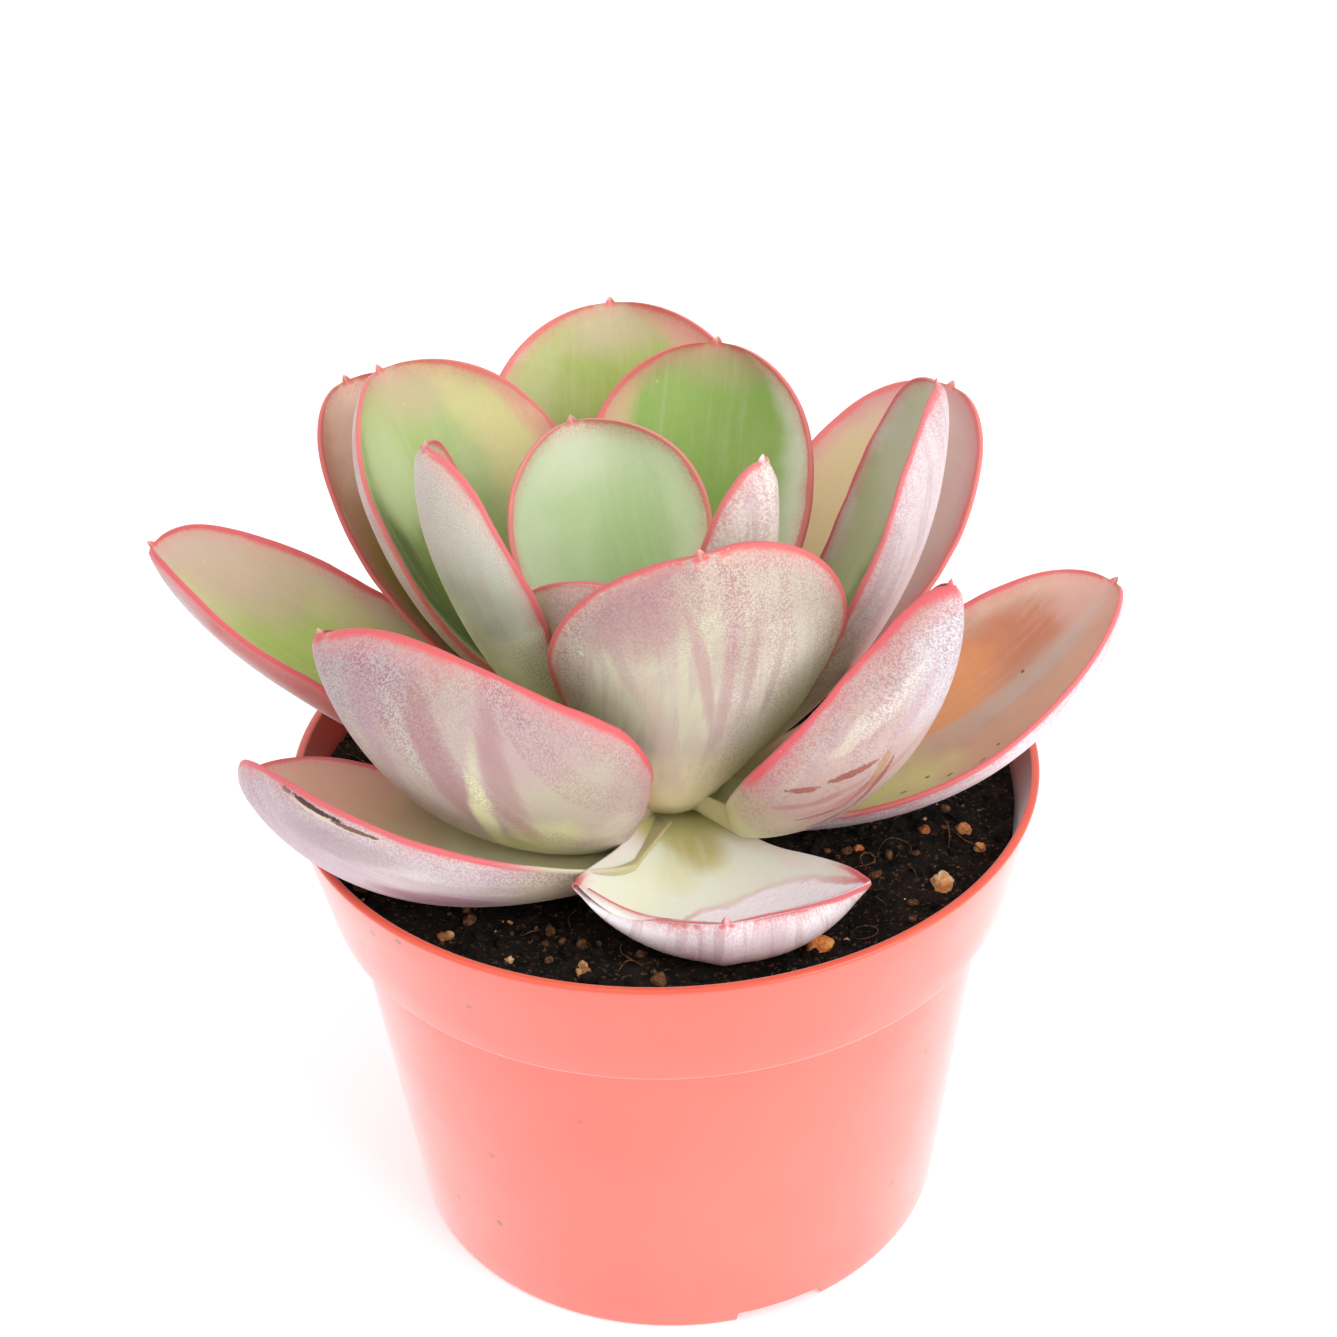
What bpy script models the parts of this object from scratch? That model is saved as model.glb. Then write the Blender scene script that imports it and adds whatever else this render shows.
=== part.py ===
"""Potted succulent: a rosette of thick cupped leaves on a short stem, growing in soil
in a round nursery pot. Lengths are metres unless a name or note says otherwise, +Z is up,
the pot stands on z = 0, and the front of the plant faces -Y. Shapes are worked out round the
pot's axis, and each part is then moved so that the origin is the middle of the footprint."""

import bmesh
import bpy
import numpy as np
from mathutils import Vector, noise
from mathutils.bvhtree import BVHTree

MM = 0.001
GAP = 0.0003            # air between pieces that touch in life
POT_AXIS = (0.0032, -0.0004)    # the origin is under the middle of the whole plant's plan
TURN = 2.0 * np.pi

# Pot
RIM_RADIUS = 0.0525
POT_HEIGHT = 0.073
COLLAR_HEIGHT = 0.0177
COLLAR_FLARE = 0.0037   # rim radius less the collar's lower radius
COLLAR_STEP = 0.0027    # the collar stands out this far from the body
BASE_RADIUS = 0.040
WALL = 0.0013
LIP_ROUND = 0.0006
FOOT_HEIGHT = 0.0024
FOOT_WIDTH = 0.0026
FLOOR_THICKNESS = 0.0014
NOTCH_COUNT = 3
NOTCH_WIDTH = 0.014
NOTCH_HEIGHT = 0.0018
NOTCH_BEARING = 290.5   # degrees round from +X
DRAIN_COUNT = 6
DRAIN_BEARING = 320.5
DRAIN_RADIUS = 0.0035
DRAIN_RING = 0.62       # of the base radius
POT_SIDES = 60

# Soil
SOIL_DROP = 0.0062      # soil surface below the rim
SOIL_ROUGHNESS = 0.0011
SOIL_RINGS = 7
SOIL_SIDES = 32

# Plant
STEM_OFFSET = (0.0, -0.005)   # from the pot's axis
STEM_RADIUS = 0.0066
STEM_TOP_RADIUS = 0.0026
STEM_HEIGHT = 0.0175    # above the soil
STEM_ROOT = 0.012       # below the soil
STEM_SIDES = 16
ROSETTE = 1.0           # size of the rosette against the leaf list
LEAF_THICKNESS = 3.5    # mm, where a leaf doesn't say otherwise
LEAF_STATIONS = 13
LEAF_ACROSS = 7
CURL_FROM = 0.6         # where along a leaf its tip curl starts
HEEL = 3.0              # mm that each leaf runs on inward, to meet the stem
HEEL_MEETS = 5.5        # mm from the stem's axis, where a heel from further out ends
HEEL_TAPER = 0.75       # width of such a heel's inner end against its outer end

# Each leaf: bearing round the stem, reach and height of the tip, height and distance out of
# the heel. Heights are above the soil. Millimetres and degrees.
# Then, where a leaf differs from PLAIN: bow is how far the midrib curves up from heel to
# tip, cup is how far each side curls up (right and left, seen looking out from the stem),
# roll tips the blade over, sway bends it sideways, swing turns the heel away from the
# bearing, widest is where along it is widest, heel_width is against the full width, tip_curl
# is how much further the last part of the midrib curves up.
PLAIN = dict(
    width=36, thickness=LEAF_THICKNESS, bow=30, cup=(45, 45), roll=0, sway=0, swing=0,
    widest=0.62, heel_width=0.2, heel_cup=0.6, tip_round=2.3, neck=1.4, tip_curl=0,
)
LEAVES = {
    "leaf_outer_left": (171, 69.5, 38.5, 4.0, 8.0, dict(
        width=30, cup=(38, 58), roll=-4, widest=0.56, tip_round=2.1)),
    "leaf_drooping_left": (187, 57, 13.0, 3.5, 15.0, dict(
        width=32, bow=8, cup=(50, 100), roll=8, sway=12, swing=46, widest=0.38, heel_cup=0.2,
        heel_width=0.6, neck=0.6)),
    "leaf_drooping_front": (280.5, 38.5, 9.0, 3.0, 8.0, dict(
        width=43, thickness=2.2, bow=4, tip_curl=110, cup=(46, 52), roll=-10, widest=0.7,
        heel_width=0.32, neck=2.0, tip_round=2.4)),
    "leaf_outer_right": (8, 63, 29.0, 3.5, 9.0, dict(
        width=31, bow=38, cup=(62, 38), roll=12, sway=-5, swing=-30, widest=0.58,
        tip_round=2.1, heel_width=0.4)),
    "leaf_low_back_right": (66, 58, 24.0, 3.5, 8.0, dict(width=31, bow=26)),
    "leaf_low_back_left": (108, 60, 22.0, 3.5, 8.0, dict(width=31, bow=26)),
    "leaf_back_left": (136, 62, 47.0, 5.0, 8.0, dict(thickness=3.0, bow=40)),
    "leaf_front_left": (202, 46, 40.5, 4.0, 13.0, dict(
        width=54, bow=54, cup=(80, 88), roll=27, sway=6, swing=22, widest=0.36,
        heel_width=0.25, neck=0.55, tip_round=1.25)),
    "leaf_front_right": (341, 39, 42.0, 5.5, 14.0, dict(
        width=34, bow=66, cup=(86, 90), roll=-18, sway=-5, swing=-20, widest=0.4,
        heel_width=0.25, neck=0.7, tip_round=1.6)),
    "leaf_back_right": (42, 58, 45.0, 5.5, 7.0, dict(
        width=33, bow=38, cup=(35, 35))),
    "leaf_back": (96, 57, 52.0, 6.0, 7.0, dict(width=43, bow=42, cup=(40, 24))),
    "leaf_mid_left": (140, 50, 53.5, 8.0, 6.5, dict(
        width=44, bow=44, cup=(35, 60))),
    "leaf_mid_right": (15.5, 38.5, 59.0, 8.0, 7.0, dict(
        width=28, bow=60, cup=(64, 32), roll=-8)),
    "leaf_front": (285, 19.5, 51.0, 9.5, 7.0, dict(
        width=41, bow=32, cup=(46, 26), roll=2, sway=1.5, widest=0.6, tip_round=1.8,
        heel_width=0.35, neck=1.1)),
    "leaf_mid_back": (76, 39, 53.5, 10.0, 5.5, dict(
        width=36, bow=32, roll=-3)),
    "leaf_inner_left": (184, 29, 58.5, 10.0, 5.5, dict(
        width=25, bow=48, cup=(58, 72), roll=10, tip_round=1.8)),
    "leaf_inner_back": (117, 25, 49.5, 13.0, 4.5, dict(width=33, bow=25, cup=(56, 50))),
    "leaf_inner_front": (250, 13, 43.0, 13.0, 4.5, dict(
        width=39, bow=34, cup=(50, 40), roll=8, sway=1)),
    "leaf_inner_right": (333, 15.0, 57.5, 14.0, 4.5, dict(
        width=20, bow=15, cup=(60, 60), roll=-10, widest=0.42, tip_round=1.3)),
    "leaf_heart_left": (205, 6.5, 36.0, 16.0, 2.8, dict(
        width=13, thickness=2.6, bow=24, cup=(60, 60), heel_width=0.45)),
    "leaf_heart_back": (75, 6.5, 33.0, 16.5, 2.6, dict(
        width=12, thickness=2.4, bow=24, cup=(60, 60), heel_width=0.45)),
    "leaf_heart_right": (325, 4.5, 29.0, 17.0, 2.4, dict(
        width=9, thickness=2.2, bow=24, cup=(60, 60), heel_width=0.45)),
}

# Grains of pumice and grit on the soil: bearing and distance from the pot's axis, half length
# in each direction. Degrees and millimetres. The sixth lies beside the drooping front leaf, so
# a wider rosette moves it round.
GRIT_MOVES_ROUND = 70.0
GRAINS = (
    (338, 38.0, (0.9, 1.0, 0.8)),
    (341, 43.0, (1.1, 1.0, 0.9)),
    (337, 46.0, (0.9, 0.8, 0.8)),
    (325, 44.5, (1.5, 2.2, 1.3)),
    (327, 31.0, (0.8, 0.7, 0.7)),
    (297 + GRIT_MOVES_ROUND * (ROSETTE - 1.0), 42.2, (1.8, 1.3, 1.2)),
    (229, 44.5, (1.1, 0.9, 0.8)),
    (255, 43.5, (1.0, 0.8, 0.8)),
    (35, 42.0, (1.3, 1.1, 1.0)),
    (80, 44.0, (1.0, 1.2, 0.9)),
    (150, 43.0, (1.2, 0.9, 0.9)),
)
GRAIN_SUNK = 0.35       # of a grain's height that lies below the soil surface

COLOURS = {
    "terracotta_plastic": (0.80, 0.23, 0.14),
    "peat": (0.02, 0.014, 0.01),
    "leaf": (0.42, 0.46, 0.30),
    "stem": (0.55, 0.55, 0.30),
    "pumice": (0.62, 0.45, 0.28),
}
ROUGHNESS = {
    "terracotta_plastic": 0.42, "peat": 0.95, "leaf": 0.5, "stem": 0.6, "pumice": 0.9,
}


def clear_scene():
    for obj in list(bpy.data.objects):
        bpy.data.objects.remove(obj)


def material(name, finish):
    """A plain material of one finish, its own for each part."""
    made = bpy.data.materials.new(name + "_material")
    made.use_nodes = True
    shader = made.node_tree.nodes["Principled BSDF"]
    shader.inputs["Base Color"].default_value = (*COLOURS[finish], 1.0)
    shader.inputs["Roughness"].default_value = ROUGHNESS[finish]
    return made


def add_object(name, points, faces, finish):
    """A closed mesh as a named part."""
    mesh = bpy.data.meshes.new(name)
    dx, dy = POT_AXIS
    mesh.from_pydata([(p[0] + dx, p[1] + dy, p[2]) for p in points], [], faces)
    mesh.update()
    work = bmesh.new()
    work.from_mesh(mesh)
    bmesh.ops.remove_doubles(work, verts=work.verts, dist=1e-6)
    bmesh.ops.recalc_face_normals(work, faces=work.faces)
    if work.calc_volume(signed=True) < 0:
        bmesh.ops.reverse_faces(work, faces=work.faces)
    work.to_mesh(mesh)
    work.free()
    for face in mesh.polygons:
        face.use_smooth = True
    obj = bpy.data.objects.new(name, mesh)
    bpy.context.scene.collection.objects.link(obj)
    if finish:
        mesh.materials.append(material(name, finish))
    return obj


def as_cutter(obj):
    obj.hide_render = True
    obj.display_type = "WIRE"
    return obj


def grown_copy(source, by):
    """A helper the shape of a part, larger all round, for the room that its neighbours leave it."""
    mesh = source.data.copy()
    work = bmesh.new()
    work.from_mesh(mesh)
    work.normal_update()
    moved = [(v, v.co + v.normal * v.calc_shell_factor() * by) for v in work.verts]
    for vert, place in moved:
        vert.co = place
    work.to_mesh(mesh)
    work.free()
    obj = bpy.data.objects.new(source.name + "_room", mesh)
    bpy.context.scene.collection.objects.link(obj)
    return as_cutter(obj)


def cut(obj, cutter, label):
    modifier = obj.modifiers.new(label, "BOOLEAN")
    modifier.operation = "DIFFERENCE"
    modifier.solver = "EXACT"
    modifier.object = cutter


def tree_of(obj):
    mesh = obj.data
    return BVHTree.FromPolygons([v.co for v in mesh.vertices], [p.vertices for p in mesh.polygons])


def lathe(profile, sides):
    """Points and faces of a profile of (radius, height) turned about the axis. It starts and
    ends on the axis."""
    points = [(0.0, 0.0, profile[0][1])]
    rings = []
    for radius, height in profile[1:-1]:
        rings.append(len(points))
        for k in range(sides):
            angle = TURN * k / sides
            points.append((radius * np.cos(angle), radius * np.sin(angle), height))
    last = len(points)
    points.append((0.0, 0.0, profile[-1][1]))
    faces = []
    for k in range(sides):
        after = (k + 1) % sides
        faces.append((0, rings[0] + k, rings[0] + after))
        for low, high in zip(rings, rings[1:]):
            faces.append((low + k, high + k, high + after, low + after))
        faces.append((last, rings[-1] + after, rings[-1] + k))
    return points, faces


# Pot: the outside and inside radius at a height
COLLAR_BOTTOM = POT_HEIGHT - COLLAR_HEIGHT
COLLAR_LOW_RADIUS = RIM_RADIUS - COLLAR_FLARE
BODY_TOP_RADIUS = COLLAR_LOW_RADIUS - COLLAR_STEP
FLOOR_TOP = FOOT_HEIGHT + FLOOR_THICKNESS


def inside_radius(height):
    """The pot's inside radius."""
    shoulder = COLLAR_BOTTOM + WALL
    if height >= shoulder:
        share = (height - COLLAR_BOTTOM) / COLLAR_HEIGHT
        return COLLAR_LOW_RADIUS + COLLAR_FLARE * share - WALL
    share = height / COLLAR_BOTTOM
    return BASE_RADIUS + (BODY_TOP_RADIUS - BASE_RADIUS) * share - WALL


def build_pot():
    shoulder = COLLAR_BOTTOM + WALL
    body_height = COLLAR_BOTTOM - WALL
    foot_inside = BASE_RADIUS - FOOT_WIDTH
    profile = [
        (0.0, FOOT_HEIGHT),
        (foot_inside, FOOT_HEIGHT),
        (foot_inside, 0.0),
        (BASE_RADIUS - LIP_ROUND, 0.0),
        (BASE_RADIUS, LIP_ROUND),
        (BODY_TOP_RADIUS - 0.0002, body_height),
        (BODY_TOP_RADIUS + 0.0002, COLLAR_BOTTOM - 0.0003),
        (COLLAR_LOW_RADIUS - LIP_ROUND, COLLAR_BOTTOM),
        (COLLAR_LOW_RADIUS, COLLAR_BOTTOM + LIP_ROUND),
        (RIM_RADIUS, POT_HEIGHT - LIP_ROUND),
        (RIM_RADIUS - LIP_ROUND, POT_HEIGHT),
        (inside_radius(POT_HEIGHT) + LIP_ROUND * 0.4, POT_HEIGHT),
        (inside_radius(POT_HEIGHT - LIP_ROUND), POT_HEIGHT - LIP_ROUND),
        (inside_radius(shoulder), shoulder),
        (inside_radius(shoulder - WALL * 2), shoulder - WALL * 2),
        (inside_radius(FLOOR_TOP), FLOOR_TOP),
        (0.0, FLOOR_TOP),
    ]
    pot = add_object("pot", *lathe(profile, POT_SIDES), "terracotta_plastic")
    for k in range(NOTCH_COUNT):
        cut(pot, notch_cutter(k), "notch_%d" % (k + 1))
    for k in range(DRAIN_COUNT):
        cut(pot, drain_cutter(k), "drain_%d" % (k + 1))
    return pot


def notch_cutter(index):
    """A slot through the foot ring with sloping ends."""
    bearing = np.radians(NOTCH_BEARING) + TURN * index / NOTCH_COUNT
    out = np.array([np.cos(bearing), np.sin(bearing), 0.0])
    along = np.array([-np.sin(bearing), np.cos(bearing), 0.0])
    points = []
    for reach in (BASE_RADIUS - 2.2 * FOOT_WIDTH, BASE_RADIUS + FOOT_WIDTH):
        for half, height in (
            (-NOTCH_WIDTH / 2, -0.002), (NOTCH_WIDTH / 2, -0.002),
            (NOTCH_WIDTH / 2 - 0.0006, NOTCH_HEIGHT), (-NOTCH_WIDTH / 2 + 0.0006, NOTCH_HEIGHT),
        ):
            points.append(out * reach + along * half + np.array([0.0, 0.0, height]))
    faces = [(0, 1, 2, 3), (7, 6, 5, 4), (0, 4, 5, 1), (1, 5, 6, 2), (2, 6, 7, 3), (3, 7, 4, 0)]
    return as_cutter(add_object("notch_cutter_%d" % (index + 1), points, faces, None))


def drain_cutter(index):
    bearing = np.radians(DRAIN_BEARING) + TURN * index / DRAIN_COUNT
    centre = np.array([np.cos(bearing), np.sin(bearing), 0.0]) * BASE_RADIUS * DRAIN_RING
    low, high = FOOT_HEIGHT - 0.001, FLOOR_TOP + 0.001
    points, faces = lathe([(0, low), (DRAIN_RADIUS, low), (DRAIN_RADIUS, high), (0, high)], 16)
    points = [np.array(p) + centre for p in points]
    return as_cutter(add_object("drain_cutter_%d" % (index + 1), points, faces, None))


# Soil
SOIL_LEVEL = POT_HEIGHT - SOIL_DROP


def soil_height(x, y):
    """Height of the soil surface: lumps, and a slight hollow round the stem."""
    lump = noise.noise(Vector((x * 110, y * 110, 3.7)))
    fine = noise.noise(Vector((x * 320, y * 320, 9.1)))
    from_stem = np.hypot(x - STEM_OFFSET[0], y - STEM_OFFSET[1]) / RIM_RADIUS
    slope = 0.0010 * min(from_stem, 1.0) - 0.0005
    return SOIL_LEVEL + slope + SOIL_ROUGHNESS * (0.6 * lump + 0.3 * fine)


def build_soil():
    floor = FLOOR_TOP + GAP
    shoulder = COLLAR_BOTTOM + WALL
    points = [(0.0, 0.0, floor)]
    levels = [floor, shoulder - 2 * WALL + 3 * GAP, shoulder + 3 * GAP]
    sides = SOIL_SIDES
    true_round = 1.0 / np.cos(np.pi / POT_SIDES)
    for height in levels:
        radius = inside_radius(height - 4 * GAP) / true_round - GAP
        for k in range(sides):
            angle = TURN * k / sides
            points.append((radius * np.cos(angle), radius * np.sin(angle), height))
    edge = inside_radius(SOIL_LEVEL - 0.0015) / true_round - GAP
    for ring in range(SOIL_RINGS):
        radius = edge * (1.0 - ring / SOIL_RINGS)
        for k in range(sides):
            angle = TURN * k / sides
            x, y = radius * np.cos(angle), radius * np.sin(angle)
            points.append((x, y, soil_height(x, y)))
    points.append((0.0, 0.0, soil_height(0.0, 0.0)))
    rings = [1 + sides * k for k in range(len(levels) + SOIL_RINGS)]
    faces = []
    for k in range(sides):
        after = (k + 1) % sides
        faces.append((0, rings[0] + after, rings[0] + k))
        for low, high in zip(rings, rings[1:]):
            faces.append((low + k, low + after, high + after))
            faces.append((low + k, high + after, high + k))
        faces.append((len(points) - 1, rings[-1] + k, rings[-1] + after))
    return add_object("soil", points, faces, "peat")


def build_stem():
    x, y = STEM_OFFSET
    profile = [
        (0.0, -STEM_ROOT),
        (STEM_RADIUS * 0.55, -STEM_ROOT),
        (STEM_RADIUS * 0.95, -STEM_ROOT * 0.3),
        (STEM_RADIUS, STEM_HEIGHT * 0.15),
        (STEM_RADIUS * 0.85, STEM_HEIGHT * 0.5),
        (STEM_TOP_RADIUS, STEM_HEIGHT * 0.94),
        (STEM_TOP_RADIUS * 0.5, STEM_HEIGHT),
        (0.0, STEM_HEIGHT),
    ]
    points, faces = lathe(profile, STEM_SIDES)
    points = [(p[0] + x, p[1] + y, p[2] + SOIL_LEVEL) for p in points]
    return add_object("stem", points, faces, "stem")


def grain_points(bearing, distance, halves):
    work = bmesh.new()
    bmesh.ops.create_icosphere(work, subdivisions=2, radius=1.0)
    seed = 7.0 * bearing + distance
    angle = np.radians(bearing)
    x, y = distance * MM * np.cos(angle), distance * MM * np.sin(angle)
    z = soil_height(x, y) + halves[2] * MM * (1.0 - 2.0 * GRAIN_SUNK)
    points = []
    for vert in work.verts:
        bump = 1.0 + 0.22 * noise.noise(vert.co * 1.3 + Vector((seed, 0.0, 0.0)))
        points.append([c * h * MM * bump + o for c, h, o in zip(vert.co, halves, (x, y, z))])
    faces = [[v.index for v in f.verts] for f in work.faces]
    work.free()
    return points, faces


# Leaves
MARGIN_THICKNESS = 0.7  # mm
POINT_LENGTH = 1.5      # mm, the small point on the tip


def half_width_share(along, leaf):
    """Half width against the widest, from the heel at 0 to the tip at 1."""
    rise = np.sin(0.5 * np.pi * np.clip(along / leaf["widest"], 0.0, 1.0)) ** leaf["neck"]
    near = leaf["heel_width"] + (1.0 - leaf["heel_width"]) * rise
    past = np.clip((along - leaf["widest"]) / (1.0 - leaf["widest"]), 0.0, 1.0)
    far = np.sqrt(np.clip(1.0 - past ** leaf["tip_round"], 0.0, 1.0))
    return np.where(along < leaf["widest"], near, far)


def stations():
    """Places along the midrib from the heel to the tip, closer together near the tip."""
    even = np.linspace(0.0, 1.0, LEAF_STATIONS)
    return 0.6 * np.sin(0.5 * np.pi * even) + 0.4 * even


def running_sum(values, places):
    """The area under the values from the first place up to each."""
    steps = 0.5 * (values[1:] + values[:-1]) * np.diff(places)
    return np.concatenate([[0.0], np.cumsum(steps)])


def stem_axis():
    """Where the stem's axis meets the soil. Millimetres."""
    return np.array([STEM_OFFSET[0] / MM, STEM_OFFSET[1] / MM, SOIL_LEVEL / MM])


def midrib(bearing, reach, tip_height, heel_height, heel_out, leaf, along):
    """Places on the midrib with the directions along it, across it and out of the upper face.
    It bows up in an upright plane, more so past CURL_FROM, with a sideways bend."""
    stem = stem_axis()
    angle = np.radians(bearing)
    heel_angle = np.radians(bearing + leaf["swing"])
    heel = stem + np.array([
        heel_out * np.cos(heel_angle), heel_out * np.sin(heel_angle), heel_height])
    tip = stem + np.array([reach * np.cos(angle), reach * np.sin(angle), tip_height]) * ROSETTE
    chord = tip - heel
    span = np.linalg.norm(chord)
    ahead = chord / span
    across = np.cross([0.0, 0.0, 1.0], ahead)
    across /= np.linalg.norm(across)
    out = np.cross(ahead, across)
    fine = np.linspace(0.0, 1.0, 201)
    turned = np.clip((fine - CURL_FROM) / (1.0 - CURL_FROM), 0.0, 1.0)
    slope = np.radians(leaf["bow"] * fine + leaf["tip_curl"] * turned ** 1.5)
    forward = running_sum(np.cos(slope), fine)
    sag = running_sum(np.sin(slope), fine)
    length = span / np.hypot(forward[-1], sag[-1])
    lean = np.arctan2(sag[-1], forward[-1])
    slope = np.interp(along, fine, slope) - lean
    run = length * np.interp(along, fine, np.cos(lean) * forward + np.sin(lean) * sag)
    rise = length * np.interp(along, fine, np.cos(lean) * sag - np.sin(lean) * forward)
    drift = leaf["sway"] * ROSETTE * np.sin(np.pi * along)
    drift_rate = leaf["sway"] * ROSETTE * np.pi * np.cos(np.pi * along) / length
    place = heel + np.outer(run, ahead) + np.outer(rise, out) + np.outer(drift, across)
    tangent = (
        np.outer(np.cos(slope), ahead) + np.outer(np.sin(slope), out)
        + np.outer(drift_rate, across)
    )
    tangent /= np.linalg.norm(tangent, axis=1, keepdims=True)
    side = across - np.outer(tangent @ across, [1, 1, 1]) * tangent
    side /= np.linalg.norm(side, axis=1, keepdims=True)
    upper = np.cross(tangent, side)
    roll = np.radians(leaf["roll"])
    wide = np.cos(roll) * side + np.sin(roll) * upper
    upper = np.cos(roll) * upper - np.sin(roll) * side
    return place, tangent, wide, upper, length


def curl(share, angle):
    """Sideways run and rise of one side of the blade, which curls up by the angle at its edge."""
    bend = angle * share
    if abs(angle) < 1e-4:
        return share, 0.0 * share, bend
    return np.sin(bend) / angle, (1.0 - np.cos(bend)) / angle, bend


def leaf_rings(row):
    """One ring of points round the blade at each station, upper face first. Millimetres."""
    bearing, reach, tip_height, heel_height, heel_out, own = row
    leaf = {**PLAIN, **own}
    along = stations()
    place, tangent, wide, upper, length = midrib(
        bearing, reach, tip_height, heel_height, heel_out, leaf, along)
    half = half_width_share(along, leaf) * leaf["width"] * ROSETTE / 2.0
    half[-1] = 0.35
    thick = leaf["thickness"] * (1.1 - 0.3 * along) * np.sqrt(np.clip(1.0 - along ** 5, 0.02, 1))
    grow = leaf["heel_cup"] + (1.0 - leaf["heel_cup"]) * np.sin(
        0.5 * np.pi * np.clip(along / 0.8, 0.0, 1.0))
    spread = 0.5 * np.linspace(-1.0, 1.0, LEAF_ACROSS)
    spread = spread + 0.5 * np.sin(np.pi * spread)
    share = np.abs(spread)
    rings = []
    for k in range(len(along)):
        run_right, rise_right, bend_right = curl(share, np.radians(leaf["cup"][0]) * grow[k])
        run_left, rise_left, bend_left = curl(share, np.radians(leaf["cup"][1]) * grow[k])
        left = spread > 0
        run = np.where(left, run_left, -run_right) * half[k]
        rise = np.where(left, rise_left, rise_right) * half[k]
        bend = np.where(left, bend_left, -bend_right)
        top = place[k] + np.outer(run, wide[k]) + np.outer(rise, upper[k])
        normal = np.outer(np.cos(bend), upper[k]) - np.outer(np.sin(bend), wide[k])
        depth = thick[k] * min(1.0, half[k] / 4.0) * (1.0 - share ** 2.4) ** 0.6
        depth = np.maximum(depth, MARGIN_THICKNESS * min(1.0, half[k] / 1.5))
        under = top - normal * depth[:, None]
        rings.append(np.concatenate([top, under[::-1]]))
    heel_back = rings[0] - tangent[0] * HEEL
    if heel_out - HEEL > HEEL_MEETS:
        middle = rings[0].mean(axis=0)
        inward = stem_axis() - place[0]
        inward[2] = 0.0
        inward *= 1.0 - HEEL_MEETS / heel_out
        heel_back = middle + (rings[0] - middle) * HEEL_TAPER + inward
    middle = rings[-1].mean(axis=0)
    point = middle + (rings[-1] - middle) * 0.3 + tangent[-1] * POINT_LENGTH
    return [heel_back] + rings + [point]


def build_leaf(name, row):
    rings = leaf_rings(row)
    count = len(rings[0])
    points = np.concatenate(rings) * MM
    faces = []
    for ring in range(len(rings) - 1):
        for k in range(count):
            a = ring * count + k
            b = ring * count + (k + 1) % count
            faces.append((a, b, b + count))
            faces.append((a, b + count, a + count))
    half = count // 2
    last = (len(rings) - 1) * count
    for k in range(half - 1):
        faces.append((k, k + 1, count - 2 - k, count - 1 - k))
        faces.append((last + k + 1, last + k, last + count - 1 - k, last + count - 2 - k))
    return add_object(name, points, faces, "leaf")


def bodies_of(work):
    """The separate bodies of a mesh, as sets of faces, largest first."""
    left = set(work.faces)
    bodies = []
    while left:
        body = set()
        edge = [left.pop()]
        while edge:
            face = edge.pop()
            body.add(face)
            for vert in face.verts:
                for other in vert.link_faces:
                    if other in left:
                        left.discard(other)
                        edge.append(other)
        bodies.append(body)
    return sorted(bodies, key=lambda body: -sum(face.calc_area() for face in body))


def keep_blade(leaf):
    """Neighbours that crowd the heel of a leaf can cut crumbs of it loose: only the blade stays."""
    graph = bpy.context.evaluated_depsgraph_get()
    mesh = bpy.data.meshes.new_from_object(leaf.evaluated_get(graph))
    work = bmesh.new()
    work.from_mesh(mesh)
    bodies = bodies_of(work)
    if len(bodies) > 1:
        crumbs = [face for body in bodies[1:] for face in body]
        bmesh.ops.delete(work, geom=crumbs, context="FACES")
        work.to_mesh(mesh)
        leaf.modifiers.clear()
        leaf.data = mesh
    work.free()


def main():
    clear_scene()
    pot = build_pot()
    soil = build_soil()
    stem = build_stem()
    stem_room = grown_copy(stem, GAP)
    pot_room = grown_copy(pot, GAP)
    cut(soil, stem_room, "stem_hole")
    stem_tree = tree_of(stem_room)
    pot_tree = tree_of(pot_room)
    soil_tree = tree_of(soil)
    leaves = [build_leaf(name, row) for name, row in LEAVES.items()]
    rooms = [grown_copy(leaf, GAP * 1.2) for leaf in leaves]
    trees = [tree_of(room) for room in rooms]
    own_trees = [tree_of(leaf) for leaf in leaves]
    for k, leaf in enumerate(leaves):
        if own_trees[k].overlap(stem_tree):
            cut(leaf, stem_room, "stem_room")
        if own_trees[k].overlap(pot_tree):
            cut(leaf, pot_room, "rim_room")
        for inner in range(k + 1, len(leaves)):
            if own_trees[k].overlap(trees[inner]):
                cut(leaf, rooms[inner], leaves[inner].name + "_room")
        keep_blade(leaf)
        if trees[k].overlap(soil_tree):
            cut(soil, rooms[k], leaf.name + "_print")
    for k, (bearing, distance, halves) in enumerate(GRAINS):
        name = "grit_%d" % (k + 1)
        points, faces = grain_points(bearing, distance, halves)
        grain = add_object(name, points, faces, "pumice")
        cut(soil, grown_copy(grain, GAP), name + "_pocket")
    bpy.context.view_layer.update()


main()
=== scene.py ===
"""Looks of the potted succulent: fine leaves, pot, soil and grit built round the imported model."""

import bmesh
import bpy
import numpy as np
from mathutils import Matrix, Vector, noise
from mathutils.bvhtree import BVHTree


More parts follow.
